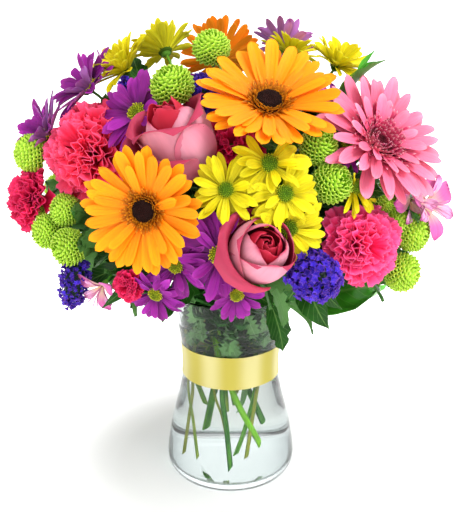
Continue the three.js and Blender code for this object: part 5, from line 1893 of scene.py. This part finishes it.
class BOUQUET_OT_leaves(bpy.types.Operator):
    """Builds the large glossy leaf and the pointed pair at the top right"""

    bl_idname = "bouquet.leaves"
    bl_label = "Large Leaves"

    def execute(self, context):
        # Painted light: the glossy leaves' green is lighter than their own, to offset the shade
        # that falls on them under the blooms
        glossy = leaf_finish("leaf_glossy", "4EAE2C", "86C65A", "6AA64C", spread=0.2, gloss=0.3)
        # Angles, length and half width in shares of the radius, outline and bend
        shapes = {
            "leaf": ((0.0,), 1.05, 0.42, OVAL, -0.45),
            "leaf_pair": ((0.25, -0.42), 1.0, 0.17, BLADE, -0.3),
        }
        upright = frames_along(np.array([0, 0, 1.0]), np.array([0, 1.0, 0]))

        def blades(bloom):
            angles, length, width, outline, bend = shapes[bloom.kind]
            rng = bloom.random()
            lying, standing = Skin(), Skin()
            for angle in angles:
                grid = leaf_grid(
                    rng, 1, bloom.radius * length, bloom.radius * width, outline, bend=bend)
                add_sheets(lying, carry(grid, turn(2, angle)), 0.5, rng.uniform(size=1))
            standing.take(lying, upright, np.zeros(3))
            return standing

        build_blooms("leaf", blades, {"leaf": [glossy]}, "blade")
        build_blooms("leaf_pair", blades, {"leaf": [glossy]}, "blades")
        return {"FINISHED"}


def paper_finish():
    """Pale paper that glows faintly away from the vase, and half as much through the glass: the
    missing glow round the vase is a painted shadow about its foot, and the dimmer glow through the
    glass is painted shade on the glass.
    """
    material, tree, shader = new_material("studio_paper")
    greys = ((0.93, 0.93, 0.93, 1), (0.96, 0.96, 0.96, 1))
    position = new_node(tree, "ShaderNodeTexCoord").outputs["Object"]
    apart = new_node(tree, "ShaderNodeVectorMath", {0: position}, operation="LENGTH")
    # Painted shadow: no glow within 0.11 m of the vase's axis and full glow past 0.27 m, so the
    # floor is darker round the foot
    glow_past_painted_shadow = ramp(tree, apart.outputs["Value"], 0.11, 0.27)
    rays = new_node(tree, "ShaderNodeLightPath")
    # Painted shade: the floor seen through the glass glows half as much, which greys the glass
    through = calculate(tree, "MULTIPLY_ADD", rays.outputs["Is Transmission Ray"], -0.5, 1.0)
    fill(tree, shader, {
        "Base Color": blend_colours(tree, object_noise(tree, 3.0), *greys),
        "Roughness": 0.8,
        "Specular IOR Level": 0.1,
        "Emission Color": calculate(tree, "MULTIPLY", glow_past_painted_shadow, through),
        "Emission Strength": 0.9,
    })
    return material


def make_floor(scene):
    """A floor that bends up into a backdrop, in metres."""
    rows, columns = 61, 25
    flat_share, bend_share = 0.55, 0.2
    t = np.linspace(0, 1, rows)[:, None]
    x = np.linspace(-4.0, 4.0, columns)[None, :]
    bend = np.clip((t - flat_share) / bend_share, 0, 1) * math.pi / 2
    y = -2.2 + 5.0 * np.minimum(t, flat_share) / flat_share + np.sin(bend)
    z = 1.0 - np.cos(bend) + np.clip(t - flat_share - bend_share, 0, 1) * 12
    points = np.stack(np.broadcast_arrays(x, y, z), axis=-1).reshape(-1, 3)
    at = np.arange(rows * columns).reshape(rows, columns)
    faces = np.stack([at[:-1, :-1], at[:-1, 1:], at[1:, 1:], at[1:, :-1]], axis=-1).reshape(-1, 4)
    mesh = bpy.data.meshes.new("studio_floor")
    mesh.from_pydata(points.tolist(), [], faces.tolist())
    mesh.polygons.foreach_set("use_smooth", np.ones(len(faces), bool))
    mesh.materials.append(paper_finish())
    floor = bpy.data.objects.new("studio_floor", mesh)
    scene.collection.objects.link(floor)


def make_world(scene):
    """White all round, dimmer as a light than the camera sees it."""
    world = bpy.data.worlds.new("studio_world")
    world.use_nodes = True
    sky = world.node_tree
    rays = new_node(sky, "ShaderNodeLightPath")
    seen = {0: rays.outputs["Is Camera Ray"], 3: 0.55, 4: 1.0}
    strength = new_node(sky, "ShaderNodeMapRange", seen).outputs[0]
    fill(sky, sky.nodes["Background"], {0: (1, 1, 1, 1), 1: strength})
    scene.world = world


# The lights: name, place in metres, size, power in watts and the point that it faces
LIGHTS = [
    ("key", (0.8, -0.75, 1.3), 0.6, 18, (0, 0, 0.28)),
    ("fill", (-0.5, -1.6, 0.9), 1.4, 11, (0, 0, 0.25)),
    ("top", (0.3, 0.3, 1.7), 0.9, 5, (0, 0, 0.3)),
]

# The camera: its place in metres, and how far it looks down in degrees
CAMERA_PLACE, CAMERA_TILT = (0, -0.527, 0.351), 12.16


class BOUQUET_OT_stage(bpy.types.Operator):
    """Builds the pale floor with its backdrop, the soft lights and the camera"""

    bl_idname = "bouquet.stage"
    bl_label = "Studio Stage"

    def execute(self, context):
        scene = bpy.context.scene
        make_floor(scene)
        make_world(scene)
        for name, place, size, power, aim in LIGHTS:
            light = bpy.data.lights.new(f"studio_{name}", "AREA")
            light.size = size
            light.energy = power
            lamp = bpy.data.objects.new(f"studio_{name}", light)
            lamp.location = place
            way = Vector(aim) - Vector(place)
            lamp.rotation_euler = way.to_track_quat("-Z", "Y").to_euler()
            scene.collection.objects.link(lamp)
        camera = bpy.data.cameras.new("studio_camera")
        camera.sensor_width = 36
        camera.lens = 35.16
        camera.clip_start = 0.01
        viewer = bpy.data.objects.new("studio_camera", camera)
        viewer.location = CAMERA_PLACE
        viewer.rotation_euler = (math.radians(90 - CAMERA_TILT), 0, 0)
        scene.collection.objects.link(viewer)
        scene.camera = viewer
        scene.view_settings.view_transform = "Standard"
        scene.view_settings.look = "None"
        return {"FINISHED"}


class BOUQUET_PT_panel(bpy.types.Panel):
    """Lists the bouquet's pieces with their colours and sizes"""

    bl_label = "Bouquet"
    bl_idname = "BOUQUET_PT_panel"
    bl_space_type = "VIEW_3D"
    bl_region_type = "UI"
    bl_category = "Bouquet"

    def draw(self, context):
        layout = self.layout
        for made in OPERATORS:
            layout.operator(made.bl_idname)
        for group in (context.scene.bouquet_colours, context.scene.bouquet_sizes):
            box = layout.box()
            for key in group.__annotations__:
                box.prop(group, key)


OPERATORS = [
    BOUQUET_OT_stage, BOUQUET_OT_vase, BOUQUET_OT_water, BOUQUET_OT_ribbon, BOUQUET_OT_stems,
    BOUQUET_OT_gerberas, BOUQUET_OT_daisies, BOUQUET_OT_roses, BOUQUET_OT_carnations,
    BOUQUET_OT_buttons, BOUQUET_OT_statice, BOUQUET_OT_alstroemerias, BOUQUET_OT_leaves,
]
CLASSES = [BouquetColours, BouquetSizes, *OPERATORS, BOUQUET_PT_panel]


def register():
    """Registers the classes and the scene's settings."""
    for made in CLASSES:
        bpy.utils.register_class(made)
    bpy.types.Scene.bouquet_colours = PointerProperty(type=BouquetColours)
    bpy.types.Scene.bouquet_sizes = PointerProperty(type=BouquetSizes)


def unregister():
    """Removes the scene's settings and the classes."""
    del bpy.types.Scene.bouquet_sizes
    del bpy.types.Scene.bouquet_colours
    for made in reversed(CLASSES):
        bpy.utils.unregister_class(made)


def main():
    """Builds every piece in order."""
    register()
    for made in OPERATORS:
        area, action = made.bl_idname.split(".")
        getattr(getattr(bpy.ops, area), action)()
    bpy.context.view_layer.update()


if __name__ == "__main__":
    main()
